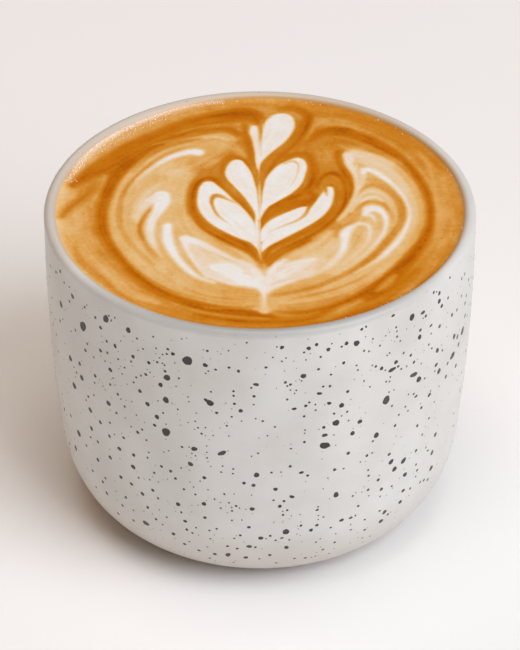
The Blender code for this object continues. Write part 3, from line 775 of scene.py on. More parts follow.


# ---------------------------------------------------------------- the iron specks


# Specks listed one by one for the front: degrees round from the front, millimetres above the foot and
# millimetres wide. Long ones also say how many times as long as wide they are, and the degrees
# that they lean from level.
PLACED = (
    # left side
    (-67, 63, 0.6), (-66.3, 51.7, 0.8), (-64.9, 56.4, 1.6), (-64.5, 28.8, 0.8), (-64, 20.5, 1.4),
    (-62.1, 62.9, 0.6), (-60.7, 45.3, 1.5), (-60, 26.5, 1.7), (-59.6, 39, 1.65), (-59.3, 59.8, 0.65),
    (-57.6, 43.3, 0.6), (-57.5, 61.8, 1.15), (-56.7, 54.1, 0.6), (-56.1, 25.3, 0.7),
    (-55.5, 46.5, 1, 1.25, 80), (-54.9, 43.3, 1.4), (-54.3, 19.5, 0.75), (-53.9, 15.2, 0.6),
    (-53.6, 38.3, 0.5), (-53.1, 29, 0.6, 1.4, 30), (-52.8, 56.8, 2.35, 1.3, 65), (-52.3, 39.8, 0.7),
    (-52.2, 51.3, 0.85), (-52.2, 31.7, 1.1), (-51.9, 36.6, 1.25), (-51.7, 61.8, 0.6),
    (-51.2, 53.3, 0.6), (-50.7, 24.2, 1), (-49.7, 29.4, 0.78), (-49.6, 41.4, 0.5, 1.8, 70),
    (-49.6, 18.8, 0.8), (-48.9, 44.8, 0.5), (-48.6, 51.2, 0.5), (-48.5, 46.7, 0.88),
    (-48.5, 16.2, 0.85), (-48.1, 20.5, 0.65), (-47.7, 35.4, 0.95), (-47.3, 61.2, 0.7),
    (-45.7, 54, 0.9), (-45.5, 45.4, 0.36), (-45.3, 59.6, 0.85), (-45.3, 11.7, 0.8), (-44.9, 27.5, 1),
    (-44.3, 33.3, 0.82), (-44.1, 52.1, 0.4), (-43.7, 41.9, 1.28), (-43.7, 37, 0.6),
    (-43.2, 62.5, 1.8, 1.4, 58), (-43.2, 57.2, 0.65), (-43.1, 54.5, 0.6), (-42.6, 47, 0.6),
    (-42.3, 50.7, 1.05), (-42.1, 15.7, 0.7), (-41.4, 49, 0.4), (-41.3, 23.8, 0.98),
    (-40.9, 40.6, 0.65), (-40.8, 31.5, 1.05), (-40.2, 57.2, 0.95, 1.4, 90), (-40.2, 18.8, 0.7),
    (-40, 45.6, 0.7), (-39.3, 54.4, 0.5), (-38.9, 35.1, 0.7), (-38.8, 12.7, 0.7), (-37.8, 43.4, 0.55),
    (-37.5, 23.5, 0.85), (-36.3, 28.5, 1.2), (-36, 39, 0.4), (-35.8, 31.8, 0.9),
    (-35.6, 62.5, 1.3, 1.25, 65), (-35, 55.3, 0.5), (-34.7, 26.2, 0.5), (-34.4, 50.5, 0.5),
    (-34.3, 56.7, 0.9, 1.25, 75), (-34, 13.9, 1.55, 1.15, -20), (-33.9, 38.3, 0.8),
    (-33.9, 22.2, 0.95), (-33.5, 52, 0.5), (-32.9, 61.4, 0.5), (-32.5, 49, 0.9), (-32.5, 19, 0.78),
    (-32.4, 39.5, 0.55), (-31.2, 37.2, 0.5), (-31.2, 32.7, 0.52), (-31.1, 59.5, 0.42),
    (-30.7, 34.2, 0.42), (-30.5, 53.6, 0.7), (-30.3, 46.5, 1.05), (-30.3, 24.4, 0.8),
    (-30.1, 16.5, 0.65), (-29.5, 56.7, 0.8), (-29.4, 29.3, 0.62), (-28.8, 22.7, 0.58),
    (-28.4, 41.8, 0.78), (-28, 63.2, 0.45), (-27.6, 44.1, 1.1), (-27, 57.5, 0.55), (-27, 31.7, 0.68),
    (-26.5, 18.2, 0.45), (-26.2, 52.3, 1.08), (-25.7, 45.6, 0.45), (-25.5, 57.6, 0.38),
    (-25.4, 59.7, 0.4), (-25.1, 41, 2.05, 1.25, 80), (-25, 13.8, 0.95), (-24.9, 57.3, 0.4),
    (-24.8, 55.9, 0.65), (-24.8, 49, 1.5, 1.15, 110), (-24.3, 54.5, 1.5, 1.1, 60), (-24.3, 31.2, 0.75),
    (-24.2, 60.1, 0.5), (-23.9, 61.3, 0.58), (-23, 29.6, 0.68), (-22.7, 22.8, 1.05),
    (-22.5, 60.5, 0.85), (-22, 11.4, 0.75), (-21.9, 20.8, 0.52), (-21.8, 53, 0.33), (-21.5, 47.5, 0.4),
    (-21.2, 32.8, 0.42), (-21, 55.1, 0.45), (-20.9, 18.6, 0.82), (-20.7, 38.3, 0.55),
    (-20.7, 27.3, 0.55), (-20.6, 16.3, 0.7),
    # front
    (-19, 15.7, 0.5), (-18.6, 59.7, 2.2, 1.13, 75), (-18.6, 51.1, 0.36), (-18.5, 34.4, 1.15),
    (-18.4, 50, 0.34), (-17.8, 10.3, 0.75), (-17.5, 26.6, 0.48), (-17.3, 38.5, 1.25, 1.2, 30),
    (-16.8, 45.5, 0.38), (-16.1, 44, 0.42), (-15.2, 42.7, 0.52), (-15.2, 24.5, 1.02),
    (-15.1, 20.8, 0.75), (-15, 7.9, 0.6), (-14.8, 31.5, 0.85), (-13.8, 51.1, 0.9, 1.4, -40),
    (-14, 17.4, 0.45), (-13.9, 59.4, 1), (-13.9, 38.2, 0.36), (-13.9, 15, 0.42), (-13.3, 62.8, 0.55),
    (-13.1, 10, 0.95), (-12.8, 50.6, 1.55), (-12.5, 53.3, 0.45), (-11.9, 18.2, 0.5),
    (-11.2, 58.7, 0.52), (-11.1, 48.4, 0.65), (-10.6, 24, 0.45), (-10.2, 33.6, 0.42),
    (-9.9, 38.5, 1.48, 2.1, 38), (-9.5, 27.9, 0.5), (-9.2, 10.4, 1.35, 1.5, 65), (-9.1, 13.4, 0.65),
    (-8, 43, 0.34), (-7.8, 59.5, 0.55), (-7.6, 21, 0.42), (-7.5, 23.6, 0.48), (-7.2, 47.8, 0.45),
    (-7.1, 33.5, 0.42), (-7.1, 16, 0.42), (-6.7, 54, 0.52), (-6.7, 52.9, 0.52), (-6.5, 51, 0.6),
    (-6.4, 25, 0.55), (-6.4, 12.9, 0.6), (-5.4, 58.8, 0.7, 1.3, 90), (-5.4, 17, 0.6),
    (-4.9, 49.4, 0.9), (-4.2, 31.2, 0.78), (-4.1, 9.9, 1.05), (-3.3, 62, 0.38), (-3, 19.4, 0.75),
    (-3, 13.8, 1.05, 1.2, -10), (-2.2, 55, 0.45), (-2.1, 24.4, 1.05), (-1.7, 30.7, 0.88),
    (-1.6, 51, 0.38), (-1.5, 53, 0.65), (-1.3, 13.6, 0.6), (-1, 55.8, 0.95, 1.6, -8),
    (-0.9, 33.4, 1.25), (-0.5, 39, 0.42), (0.2, 16.4, 1.05), (0.7, 47, 0.5), (1.5, 59.8, 0.6),
    (1.9, 43.4, 0.38), (2.8, 17, 0.6), (2.8, 10.9, 0.8), (3, 34, 0.48), (3.2, 62.1, 0.38),
    (3.6, 26.7, 0.48), (3.8, 45.5, 0.42), (4.1, 29.6, 0.92), (4.3, 15.6, 0.5), (5.3, 25, 0.85),
    (5.5, 61.1, 0.4), (6, 16.2, 0.62, 1.4, 15), (6.2, 22.6, 0.55), (6.4, 56.1, 0.62), (6.4, 26.3, 0.6),
    (6.9, 55.2, 0.42), (6.9, 52, 0.5), (7.1, 17.9, 1.5), (7.3, 23.8, 0.5),
    (7.4, 13.2, 1.05, 1.15, 110), (7.7, 55.5, 0.58), (7.7, 54.2, 0.36), (7.9, 35.3, 0.65),
    (8.1, 15.5, 0.45), (8.5, 27.3, 0.95, 1.5, -38), (8.7, 49.6, 0.82, 1.75, 3), (8.8, 53.3, 0.33),
    (10.1, 8.8, 0.6), (10.9, 33.4, 0.85, 1.4, 10), (11, 57.2, 1.15), (11.1, 62.7, 0.48),
    (11.2, 19.2, 0.58), (11.3, 47.5, 0.55), (11.5, 41.1, 0.6), (11.6, 44.1, 0.38), (11.7, 50, 0.68),
    (12.3, 63.5, 0.95), (12.6, 50.7, 0.5), (12.6, 32.4, 0.62), (13.4, 8.4, 0.75), (14.1, 17.5, 0.88),
    (14.2, 50, 0.4), (14.9, 58.3, 0.6), (15.2, 52.5, 0.9, 1.5, -15), (15.4, 61.1, 0.5),
    (15.6, 22.8, 0.65, 1.4, 35), (15.7, 18.6, 0.75), (15.8, 13.6, 0.45), (16.2, 54, 0.5),
    (16.6, 44, 0.75), (16.9, 42, 1.05, 1.6, 0), (17, 39.4, 2, 1.35, -25), (17.4, 62.5, 0.88),
    (17.5, 20.5, 0.42), (17.9, 49.7, 0.85, 1.2, -25), (18, 53.8, 0.6), (18.2, 56.5, 0.48),
    (18.3, 10.5, 0.65), (19.3, 46.9, 0.55), (19.8, 17.1, 0.5), (19.9, 44.5, 1.55, 1.15, 110),
    (20, 32.6, 0.78), (20.8, 25.8, 1.35, 1.5, 95), (21, 62.5, 0.5), (21.3, 48.5, 1.15),
    (21.6, 58.6, 0.7), (21.6, 12.1, 0.6), (22.3, 63, 0.88), (22.9, 51.5, 0.7), (22.9, 46.6, 0.5),
    (22.9, 18.4, 0.95, 1.5, 5), (23.7, 36, 0.82), (24.7, 40.8, 1.1), (25.1, 62.4, 1.35, 1.2, 115),
    (25.2, 57.2, 0.42), (25.7, 18.3, 0.78, 1.4, 5), (25.8, 24.2, 0.5), (26.2, 14.7, 0.5),
    (26.7, 43.2, 1.08), (27.1, 18.5, 0.45), (27.3, 60.1, 0.5), (27.5, 52.9, 0.42), (27.8, 20.9, 0.6),
    (28.7, 59.6, 0.42), (29.3, 51, 0.4), (29.4, 33.8, 0.68),
    # right side
    (30.4, 28.2, 0.6), (30.4, 16.3, 0.5), (30.6, 24.4, 0.68), (30.9, 55.4, 0.58), (31, 37, 0.52),
    (31, 13, 0.68), (31, 34, 0.45), (32, 60, 0.45), (32, 38.2, 1.35, 1.3, 100), (32.7, 54.4, 0.92),
    (33.7, 26, 0.8), (34.3, 50.7, 0.45), (34.6, 46.1, 2, 1.15, 80), (35.1, 57.3, 0.42),
    (35.1, 23, 0.85), (35.3, 17, 0.55), (35.6, 51.4, 0.42), (36.1, 53, 1.4, 1.9, 3), (36.5, 13.5, 1.2),
    (36.6, 44, 0.55), (36.8, 31.6, 0.82), (37, 62.7, 0.5), (37.2, 15.9, 1.15), (37.3, 61.7, 0.4),
    (37.3, 54.4, 0.98), (37.4, 60.4, 0.55), (37.7, 29.3, 1.32), (38.1, 53.1, 0.65), (38.1, 38.5, 0.7),
    (38.7, 14.6, 0.65), (38.8, 22.4, 0.55), (39.2, 52.1, 0.5), (39.2, 40.8, 0.5), (39.2, 26.8, 1.3),
    (39.8, 55.7, 0.55), (41.4, 42, 0.5), (42.4, 63.2, 1.55, 1.3, 95), (42.4, 54.2, 0.7),
    (42.4, 27.7, 1.45), (43, 16.3, 1.05), (43.6, 23.5, 1.2), (43.6, 19.2, 0.95), (43.7, 52, 0.75),
    (43.9, 48.9, 1.6, 2, -15), (44.3, 44, 0.55), (45.3, 43, 0.78, 1.6, 0),
    (45.5, 57.3, 1.15, 1.2, 120), (45.7, 58.9, 0.75), (46, 46.9, 1.5), (46.5, 62.7, 1.05, 1.6, 0),
    (46.8, 34.9, 0.75), (46.6, 18.4, 0.65), (47.3, 28.2, 0.8), (47.7, 61.4, 0.72), (47.9, 39, 0.78),
    (48, 24.2, 0.6), (48.8, 22.3, 0.7), (49.4, 53.9, 0.55), (49.4, 31.4, 0.58),
    (50, 58.2, 0.75, 1.5, 10), (50.2, 56.2, 0.45), (51.1, 40.8, 1.05), (51.1, 18, 0.7),
    (51.9, 34.5, 0.62), (51.9, 26.9, 0.5), (53, 17.6, 0.75), (53.1, 25.5, 0.65, 1.8, -35),
    (53.4, 62.5, 1.15), (53.4, 47.2, 1, 1.25, -10), (53.5, 50.7, 1.2, 1.3, 120), (54, 56.3, 0.9),
    (54.7, 60.8, 0.95), (55, 44.9, 1.4), (55.3, 16.6, 0.8), (55.6, 23.7, 1.25),
    (56.1, 49.5, 0.6, 1.6, -40), (56.3, 28.1, 1.15), (56.3, 19.2, 1.4), (57.8, 61.3, 0.7),
    (59.2, 41.5, 0.95), (59.6, 44.6, 0.8), (60.5, 56, 0.95, 1.5, 120), (62.5, 45.1, 1.9, 1.4, -5),
    (62.7, 49.7, 1.35, 1.3, -45), (63.6, 55.7, 0.75), (65.1, 48.4, 1.05), (65.7, 40.9, 1.05, 1.3, -45),
    (66.2, 61.9, 0.75), (66.5, 57.6, 0.6), (66.5, 45.8, 1.1), (70.2, 54, 0.9), (72.9, 58.3, 0.8),
    # under the lip
    (-64.5, 64.4, 0.95, 1.5, 50), (-59.1, 63.3, 0.45, 1.5, 40), (-50.7, 62.7, 0.35),
    (-42.1, 63.6, 0.5, 1.5, 50), (-41.3, 62.8, 0.5, 2.2, 65), (-40, 63.9, 0.42), (-20, 64.5, 0.34),
    (-7.9, 63.4, 0.36), (-3.3, 65.5, 0.4), (4.2, 64.5, 0.36), (5.5, 64.3, 0.85), (14.3, 64.1, 0.78),
    (18.3, 63.7, 0.36), (26.5, 65.3, 0.65), (27.7, 65.6, 0.5), (29.8, 62.2, 0.42), (33.7, 61.8, 0.34),
    (35.9, 65.8, 0.75, 1.4, 0), (46.6, 61.3, 0.36), (50.7, 65.7, 0.7), (52, 65.3, 0.42),
    (53.3, 64.4, 0.95), (58.4, 65.8, 0.6),
    # faint ones, left and right
    (-64.1, 53.2, 0.42), (-59.1, 52.7, 0.42), (-58.9, 44, 0.42), (-42.3, 34.6, 0.42),
    (-39, 44.8, 0.38), (-38.2, 59.1, 0.34), (-38.1, 51.3, 0.4), (-37.8, 40.5, 0.34),
    (-37.2, 53.1, 0.45), (-35.3, 45.5, 0.34), (-34, 42.6, 0.38), (-32.7, 58.7, 0.32),
    (-32, 52.9, 0.46), (-29.2, 54.5, 0.36), (-27.2, 60.7, 0.4), (-27.1, 48.2, 0.34),
    (-26.3, 58.7, 0.34), (-26, 35.7, 0.34), (-24.6, 36.4, 0.36), (-25, 43, 0.36), (-22, 58.5, 0.32),
    (-18.7, 38.7, 0.34), (-18, 37.2, 0.34), (-17, 36.8, 0.36), (-14.1, 44.4, 0.36),
    (-13.9, 36.8, 0.42), (-13.9, 39.8, 0.34), (-13.8, 57.5, 0.36), (-13.1, 58.1, 0.38),
    (-12.1, 42.7, 0.34), (-9.8, 35.2, 0.4), (-8.5, 45.5, 0.46), (-7, 34.7, 0.45), (-4.7, 46.9, 0.34),
    (-2.2, 38.2, 0.34), (-1.1, 47.6, 0.34), (6.5, 61.8, 0.34), (8, 39.8, 0.44), (9.2, 54, 0.38),
    (10.5, 56.1, 0.34), (11.5, 43.3, 0.34), (11.6, 60.9, 0.36), (14.3, 48.6, 0.42), (19.4, 41.6, 0.36),
    (21.4, 45.9, 0.36), (23.4, 44.3, 0.42), (25.6, 56, 0.42), (29.8, 56, 0.38), (33.9, 53.6, 0.4),
    (34.3, 57, 0.38), (35.4, 50.4, 0.42), (35.4, 47.8, 0.4), (37, 47.8, 0.36), (38.5, 59, 0.42),
    (41.1, 52, 0.42), (42.3, 44.7, 0.42), (42.5, 40.5, 0.42), (46.6, 50.5, 0.42), (48.4, 46.1, 0.5),
    (50.8, 52.4, 0.55, 1.6, -20), (51.6, 41.6, 0.42), (52.9, 45.9, 0.5), (53.9, 37.7, 0.42),
    (55.7, 40.8, 0.42),
    # faint ones, low down
    (-37.9, 16.1, 0.42), (-31, 27, 0.4), (-28.7, 19.6, 0.34), (-28.3, 27.2, 0.36), (-28.1, 15.6, 0.42),
    (-20.3, 12.7, 0.42), (-17.9, 28.5, 0.34), (-17.8, 17.5, 0.42), (-16, 30.4, 0.36),
    (-15, 12.2, 0.38), (-13.9, 28.5, 0.38), (-12.2, 26.2, 0.42), (-8.3, 25.7, 0.42),
    (-7.6, 24.5, 0.38), (-7.9, 7.4, 0.45), (-5.5, 24.5, 0.34), (-4.9, 21.3, 0.36), (-0.2, 9.5, 0.5),
    (1.7, 16.2, 0.34), (4.8, 7.5, 0.55), (5.5, 34, 0.36), (6.1, 23.6, 0.34), (15.3, 8.2, 0.4),
    (15.8, 23.6, 0.4), (16, 21.2, 0.38), (16, 20.1, 0.36), (16.5, 8.4, 0.46), (17, 14.4, 0.36),
    (18.2, 30.8, 0.34), (20.8, 8.2, 0.46), (21.5, 14.9, 0.34), (22.6, 32.3, 0.4), (25.9, 16.3, 0.36),
    (27.5, 32.7, 0.36), (30.1, 29.8, 0.5), (30.9, 22.7, 0.36), (31, 10.3, 0.42), (34, 9.6, 0.42),
    (34.9, 21.1, 0.4), (48.5, 20.8, 0.5),
)
PLACED_REACH = 68.0  # degrees to either side of the front that the placed specks cover
PLACED_STRETCH = 1.15  # the most that a placed speck with no shape of its own is stretched
PLACED_VEIL = 0.15  # the most that a placed speck is veiled
SPECK_BALLS = ((0.45, 8, 3), (0.9, 12, 4), (math.inf, 18, 4))  # below this width in mm: sides, rings
SPECK_LOBES = ((2, 0.05), (3, 0.05), (5, 0.03))  # bulges round a speck, and their share of its radius
SPECK_MIN_GAP = 0.25  # mm between two specks
SPECK_BLEED = 0.06  # mm that the iron bleeds out round a speck
SPECK_SINK = 0.4  # share of its thickness that a speck's rim lies under the glaze
SCATTER_LOW, SCATTER_HIGH = 4.0, 63.8  # mm above the foot
SCATTER_WIDEST = 50.0  # mm above the foot, where the wall is taken as widest
BUNCHES = ((0.5, 9.0), (0.4, 3.5))  # strengths of the bunching, and its sizes in mm
BUNCH_MIDDLE, BUNCH_FILL = 0.5, 1.3
BOLD_LEAST, BOLD_SPREAD, BOLD_TAIL, BOLD_MOST = 0.36, 0.22, 0.9, 2.2  # widths in mm, with a long tail
FINE_WIDTHS = (0.16, 0.36)  # mm
STRETCH_SPREAD = 0.22
BOLD_VEIL, FINE_VEIL = 0.25, 0.85  # the most that a scattered speck is veiled


class Wall:
    """Places on the cup's outside, by degrees round from the front and millimetres above the foot."""

    def __init__(self, section):
        self.section = section
        self.curve = np.array(section.outside())
        steps = np.hypot(*np.diff(self.curve, axis=0).T)
        self.along = np.concatenate([[0.0], np.cumsum(steps)]) / MM
        slope = np.gradient(self.curve, self.along * MM, axis=0)
        self.normals = np.stack([slope[:, 1], -slope[:, 0]], axis=1)

    def way_up(self, height):
        """Millimetres along the wall's curve to a height in millimetres."""
        return float(np.interp(height, self.curve[:, 1] / MM, self.along))

    def radius(self, along):
        """The wall's radius in millimetres."""
        return float(np.interp(along, self.along, self.curve[:, 0] / MM))

    def points(self, degrees, along, lift):
        """World coordinates, lift metres off the thrown wall."""
        radius, height, out, up = (
            np.interp(along, self.along, values) for values in (*self.curve.T, *self.normals.T))
        angle = np.radians(degrees)
        places = np.stack([radius * np.sin(angle), -radius * np.cos(angle), height], axis=-1)
        inwards = np.array([thrown_stray(self.section, place) for place in places])
        flat = radius - inwards + out * lift
        return np.stack([flat * np.sin(angle), -flat * np.cos(angle), height + up * lift], axis=-1)


def placed_specks(wall, draw):
    for degrees, height, width, *shape in PLACED:
        stretch, lean = shape or (draw.uniform(1.0, PLACED_STRETCH), draw.uniform(-90, 90))
        veil = draw.random() ** 2 * PLACED_VEIL
        yield degrees, wall.way_up(height), width + SPECK_BLEED, stretch, lean, veil


def scattered_specks(settings, wall, draw):
    """Specks all round the back, and fine ones everywhere, bunched as a flicked brush leaves them."""
    taken = np.array([(speck[0], wall.way_up(speck[1]), speck[2] / 2) for speck in PLACED])
    lowest, highest = wall.way_up(SCATTER_LOW), wall.way_up(SCATTER_HIGH)
    widest = wall.radius(wall.way_up(SCATTER_WIDEST))
    found = []
    while len(found) < settings.bold_count + settings.fine_count:
        bold = len(found) < settings.bold_count
        reach = (PLACED_REACH, 360 - PLACED_REACH) if bold else (-180, 180)
        degrees = draw.uniform(*reach)
        along = draw.uniform(lowest, highest)
        around = wall.radius(along)
        if draw.random() > around / widest:
            continue
        spot = Vector((math.radians(degrees) * around, along, 0))
        bunch = BUNCH_MIDDLE
        for strength, size in BUNCHES:
            bunch += strength * noise.noise(spot / size)
        if draw.random() > bunch * BUNCH_FILL:
            continue
        if bold:
            width = min(BOLD_MOST, BOLD_LEAST + BOLD_SPREAD * math.exp(draw.gauss(0.0, BOLD_TAIL)))
        else:
            width = draw.uniform(*FINE_WIDTHS)
        apart = np.radians((degrees - taken[:, 0] + 180) % 360 - 180) * around
        if np.any(np.hypot(apart, along - taken[:, 1]) < width / 2 + taken[:, 2] + SPECK_MIN_GAP):
            continue
        taken = np.vstack([taken, (degrees, along, width / 2)])
        stretch = 1.0 + abs(draw.gauss(0.0, STRETCH_SPREAD))
        veil = draw.random() ** 2 * (BOLD_VEIL if bold else FINE_VEIL)
        found.append((degrees, along, width, stretch, draw.uniform(-90, 90), veil))
    return found


def speck_points(wall, ball, speck, phases, thickness):
    """A ball's points, flattened on the wall into a speck of uneven outline."""
    degrees, along, width, stretch, lean, _ = speck
    share = np.hypot(ball[:, 0], ball[:, 1])
    angle = np.arctan2(ball[:, 1], ball[:, 0])
    uneven = 1.0
    for (lobes, depth), phase in zip(SPECK_LOBES, phases):
        uneven = uneven + depth * np.cos(lobes * angle + phase)
    length = share * uneven * np.cos(angle) * width / 2 * math.sqrt(stretch)
    breadth = share * uneven * np.sin(angle) * width / 2 / math.sqrt(stretch)
    turn = math.radians(lean)
    sideways = length * math.cos(turn) - breadth * math.sin(turn)
    upwards = length * math.sin(turn) + breadth * math.cos(turn)
    thick = thickness * min(1.0, 0.5 + 0.5 * width)
    lift = (ball[:, 2] * (1 + SPECK_SINK) - SPECK_SINK) * thick
    return wall.points(degrees + np.degrees(sideways / wall.radius(along)), along + upwards, lift)


def iron_speck(settings):
    """Iron oxide that came up through the glaze in the kiln: charcoal, and browner where it bleeds out."""
    material, tree, shader = new_material("fired_iron_speck")
    place = add(tree, "ShaderNodeTexCoord").outputs["Object"]
    edge = add(tree, "ShaderNodeAttribute", attribute_name="edge").outputs["Fac"]
    veil = add(tree, "ShaderNodeAttribute", attribute_name="sunk").outputs["Fac"]
    bleed = add(tree, "ShaderNodeMapRange", {"Value": edge, "From Min": 0.75})
    tint = add(tree, "ShaderNodeMix", {
        MIX_FACTOR: bleed, MIX_A: settings.iron, MIX_B: settings.rust}, data_type="RGBA")
    veiled = add(tree, "ShaderNodeMix", {
        MIX_FACTOR: veil, MIX_A: tint, MIX_B: settings.veiled}, data_type="RGBA")
    grain = add(tree, "ShaderNodeTexNoise", {"Vector": place, "Scale": 1 / (0.2 * MM), "Detail": 2.0})
    bump = add(tree, "ShaderNodeBump", {"Height": grain, "Strength": 0.3, "Distance": 0.03 * MM})
    fill(shader, {"Base Color": veiled, "Roughness": 0.42, "IOR": 1.5, "Normal": bump})
    return material


class CAPPUCCINO_OT_specks(bpy.types.Operator):
    """Flicks the iron specks on the glaze: flat lenses that follow the wall, bunched and uneven"""
    bl_idname = "cappuccino.specks"
    bl_label = "Flick the specks"

    def execute(self, context):
        settings = context.scene.cappuccino.specks
        wall = Wall(Section(context.scene.cappuccino.cup))
        draw = random.Random(settings.seed)
        templates = [(limit, *ball_template(sides, rings)) for limit, sides, rings in SPECK_BALLS]
        shape = bmesh.new()
        places, edges, veils = [], [], []
        for speck in [*placed_specks(wall, draw), *scattered_specks(settings, wall, draw)]:
            width, veil = speck[2], speck[5]
            template, ball = next(made for limit, *made in templates if width < limit)
            phases = [draw.uniform(0, math.tau) for _ in SPECK_LOBES]
            shape.from_mesh(template)
            places.append(speck_points(wall, ball, speck, phases, settings.thickness))
            edges.append(np.hypot(ball[:, 0], ball[:, 1]))
            veils.append(np.full(len(ball), veil))
        piece = keep("iron_specks", shape, [iron_speck(settings)])
        move_points(piece, np.concatenate(places))
        store(piece, "edge", np.concatenate(edges))
        store(piece, "sunk", np.concatenate(veils))
        for _, template, _ in templates:
            bpy.data.meshes.remove(template)
        return {"FINISHED"}


# ---------------------------------------------------------------- the drink


DRINK_SEGMENTS = 480
SURFACE_RINGS = 186
WALL_BITE = 0.0003  # how far the drink reaches into the cup's wall
MENISCUS_REACH = 0.0006
BODY_TOP = 0.0005  # below the drink's level, where its side begins
SURFACE_DEPTH = 0.0002  # points down to here below the level belong to the surface
FOAM_WAVE = 0.00006
FOAM_WAVE_LENGTH = 7.0  # mm
GROUND_TONE = 0.42
THREADS = ((0.6, 0.9, 11.0), (0.4, 0.45, 6.0))  # strengths, and widths and lengths in mm
CREMA_THREADS = 0.12  # how strongly threads show in dark crema
MILK_THREADS = 0.025  # and in milk
POUR_SHIFT = 0.25  # mm that the leaf lies left of the cup's middle
PATH_SPACING = 0.7  # mm between points along a stroke
STROKE_MARGIN = 0.2  # mm round a stroke that is looked at too
LATTICE = 64  # cells before the value noise repeats
GROUND_SEED, LEAF_SEED, LAYER_SEEDS, FROTH_SEED, FOAM_SEED = 5, 100, 200, 1500, 77
CREMA_TONES = (
    # tone, and the setting of its colour
    (0.0, "crema_dark"), (0.09, "crema"), (0.2, "amber"), (0.35, "honey"), (0.5, "tan"),
    (0.65, "biscuit"), (0.8, "cream"), (0.92, "pale_cream"), (1.0, "milk"),
)


def smooth_path(points):
    """Points on a smooth curve through the given ones."""
    given = np.asarray(points, dtype=np.float32)
    padded = np.vstack([2 * given[0] - given[1], given, 2 * given[-1] - given[-2]])
    path = []
    for a, b, c, d in zip(padded, padded[1:], padded[2:], padded[3:]):
        steps = max(2, int(math.hypot(*(c - b)[:2]) / PATH_SPACING))
        t = np.linspace(0, 1, steps, endpoint=False)[:, None]
        bend, twist = 2 * a - 5 * b + 4 * c - d, 3 * b - a - 3 * c + d
        path.append(0.5 * (2 * b + (c - a) * t + bend * t**2 + twist * t**3))
    return np.vstack(path + [given[-1:]]).astype(np.float32)


def eased(share):
    """A share from 0 to 1 that starts and ends gently."""
    return share * share * (3 - 2 * share)


def value_noise(u, v, seed):
    """Smooth noise from -1 to 1 on a wrapped lattice of random values."""
    lattice = np.random.default_rng(seed).uniform(-1, 1, (LATTICE, LATTICE)).astype(np.float32)
    low_u, low_v = np.floor(u).astype(int), np.floor(v).astype(int)
    part_u, part_v = eased(u - low_u), eased(v - low_v)
    low, high = (
        lattice[low_u % LATTICE, row % LATTICE] * (1 - part_u)
        + lattice[(low_u + 1) % LATTICE, row % LATTICE] * part_u
        for row in (low_v, low_v + 1))
    return low * (1 - part_v) + high * part_v


def threaded(value, across, along, seed):
    """A tone with fine threads of crema, drawn out along the flow."""
    streaks = sum(
        strength * value_noise(across / width, along / length, seed + number)
        for number, (strength, width, length) in enumerate(THREADS))
    return value + (CREMA_THREADS + (MILK_THREADS - CREMA_THREADS) * np.clip(value, 0, 1)) * streaks


def along_stroke(x, y, path):
    """How far outside a stroke points are, their offsets across it, their ways along it, its length."""
    outside = np.full(x.shape, np.inf, np.float32)
    across = np.zeros_like(outside)
    along = np.zeros_like(outside)
    travelled = 0.0
    for (ax, ay, a_half), (bx, by, b_half) in zip(path, path[1:]):
        dx, dy = bx - ax, by - ay
        length = max(math.hypot(dx, dy), TINY)
        t = np.clip(((x - ax) * dx + (y - ay) * dy) / length**2, 0, 1)
        off_x, off_y = x - ax - t * dx, y - ay - t * dy
        off = np.hypot(off_x, off_y)
        gap = off - (a_half + t * (b_half - a_half))
        closer = gap < outside
        outside = np.where(closer, gap, outside)
        across = np.where(closer, np.sign(dx * off_y - dy * off_x) * off, across)
        along = np.where(closer, travelled + t * length, along)
        travelled += length
    return outside, across, along, travelled


def paint(tone, x, y, strokes, seed):
    """Lays soft strokes over the tone, each with its own threads."""
    for number, (tones, soft, points) in enumerate(strokes):
        path = smooth_path(points)
        reach = path[:, 2].max() + soft + STROKE_MARGIN
        near = ((x > path[:, 0].min() - reach) & (x < path[:, 0].max() + reach)
                & (y > path[:, 1].min() - reach) & (y < path[:, 1].max() + reach))
        outside, across, along, length = along_stroke(x[near], y[near], path)
        cover = eased(np.clip(0.5 - 0.5 * outside / soft, 0, 1))
        levels = np.atleast_1d(tones)
        value = np.interp(along / length, np.linspace(0, 1, len(levels)), levels)
        value = threaded(value, across, along, seed + 2 * number)
        tone[near] = tone[near] * (1 - cover) + value * cover


def poured_tone(x, y):
    """How milky the surface is at each point in mm, from 0 for dark crema to 1 for milk foam."""
    flat = np.hypot(x, y)
    tone = threaded(GROUND_TONE, flat, np.arctan2(y, x) * flat, GROUND_SEED).astype(np.float32)
    x = x + POUR_SHIFT
    for layer, strokes in enumerate((RINGS, MASSES, HALOS, HOOKS, PETALS)):
        paint(tone, x, y, strokes, LEAF_SEED + LAYER_SEEDS * layer)
    return tone


def froth_share(x, y):
    """Where large bubbles gather, by points in mm."""
    froth = np.zeros(x.shape, np.float32)
    paint(froth, x, y, FROTH, FROTH_SEED)
    return froth


def drink_surface_profile(section, settings):
    """From the middle of the surface, up the meniscus and just into the wall."""
    edge_height = settings.level + settings.meniscus
    beside_lip = math.sqrt(max(0.0, section.lip**2 - (edge_height - section.lip_centre) ** 2))
    edge = section.rim - section.lip - beside_lip
    radii = np.linspace(0.0, edge, SURFACE_RINGS + 1)
    climb = settings.meniscus * np.exp((radii - edge) / MENISCUS_REACH)
    return list(zip(radii, settings.level + climb)) + [(edge + WALL_BITE, edge_height)]


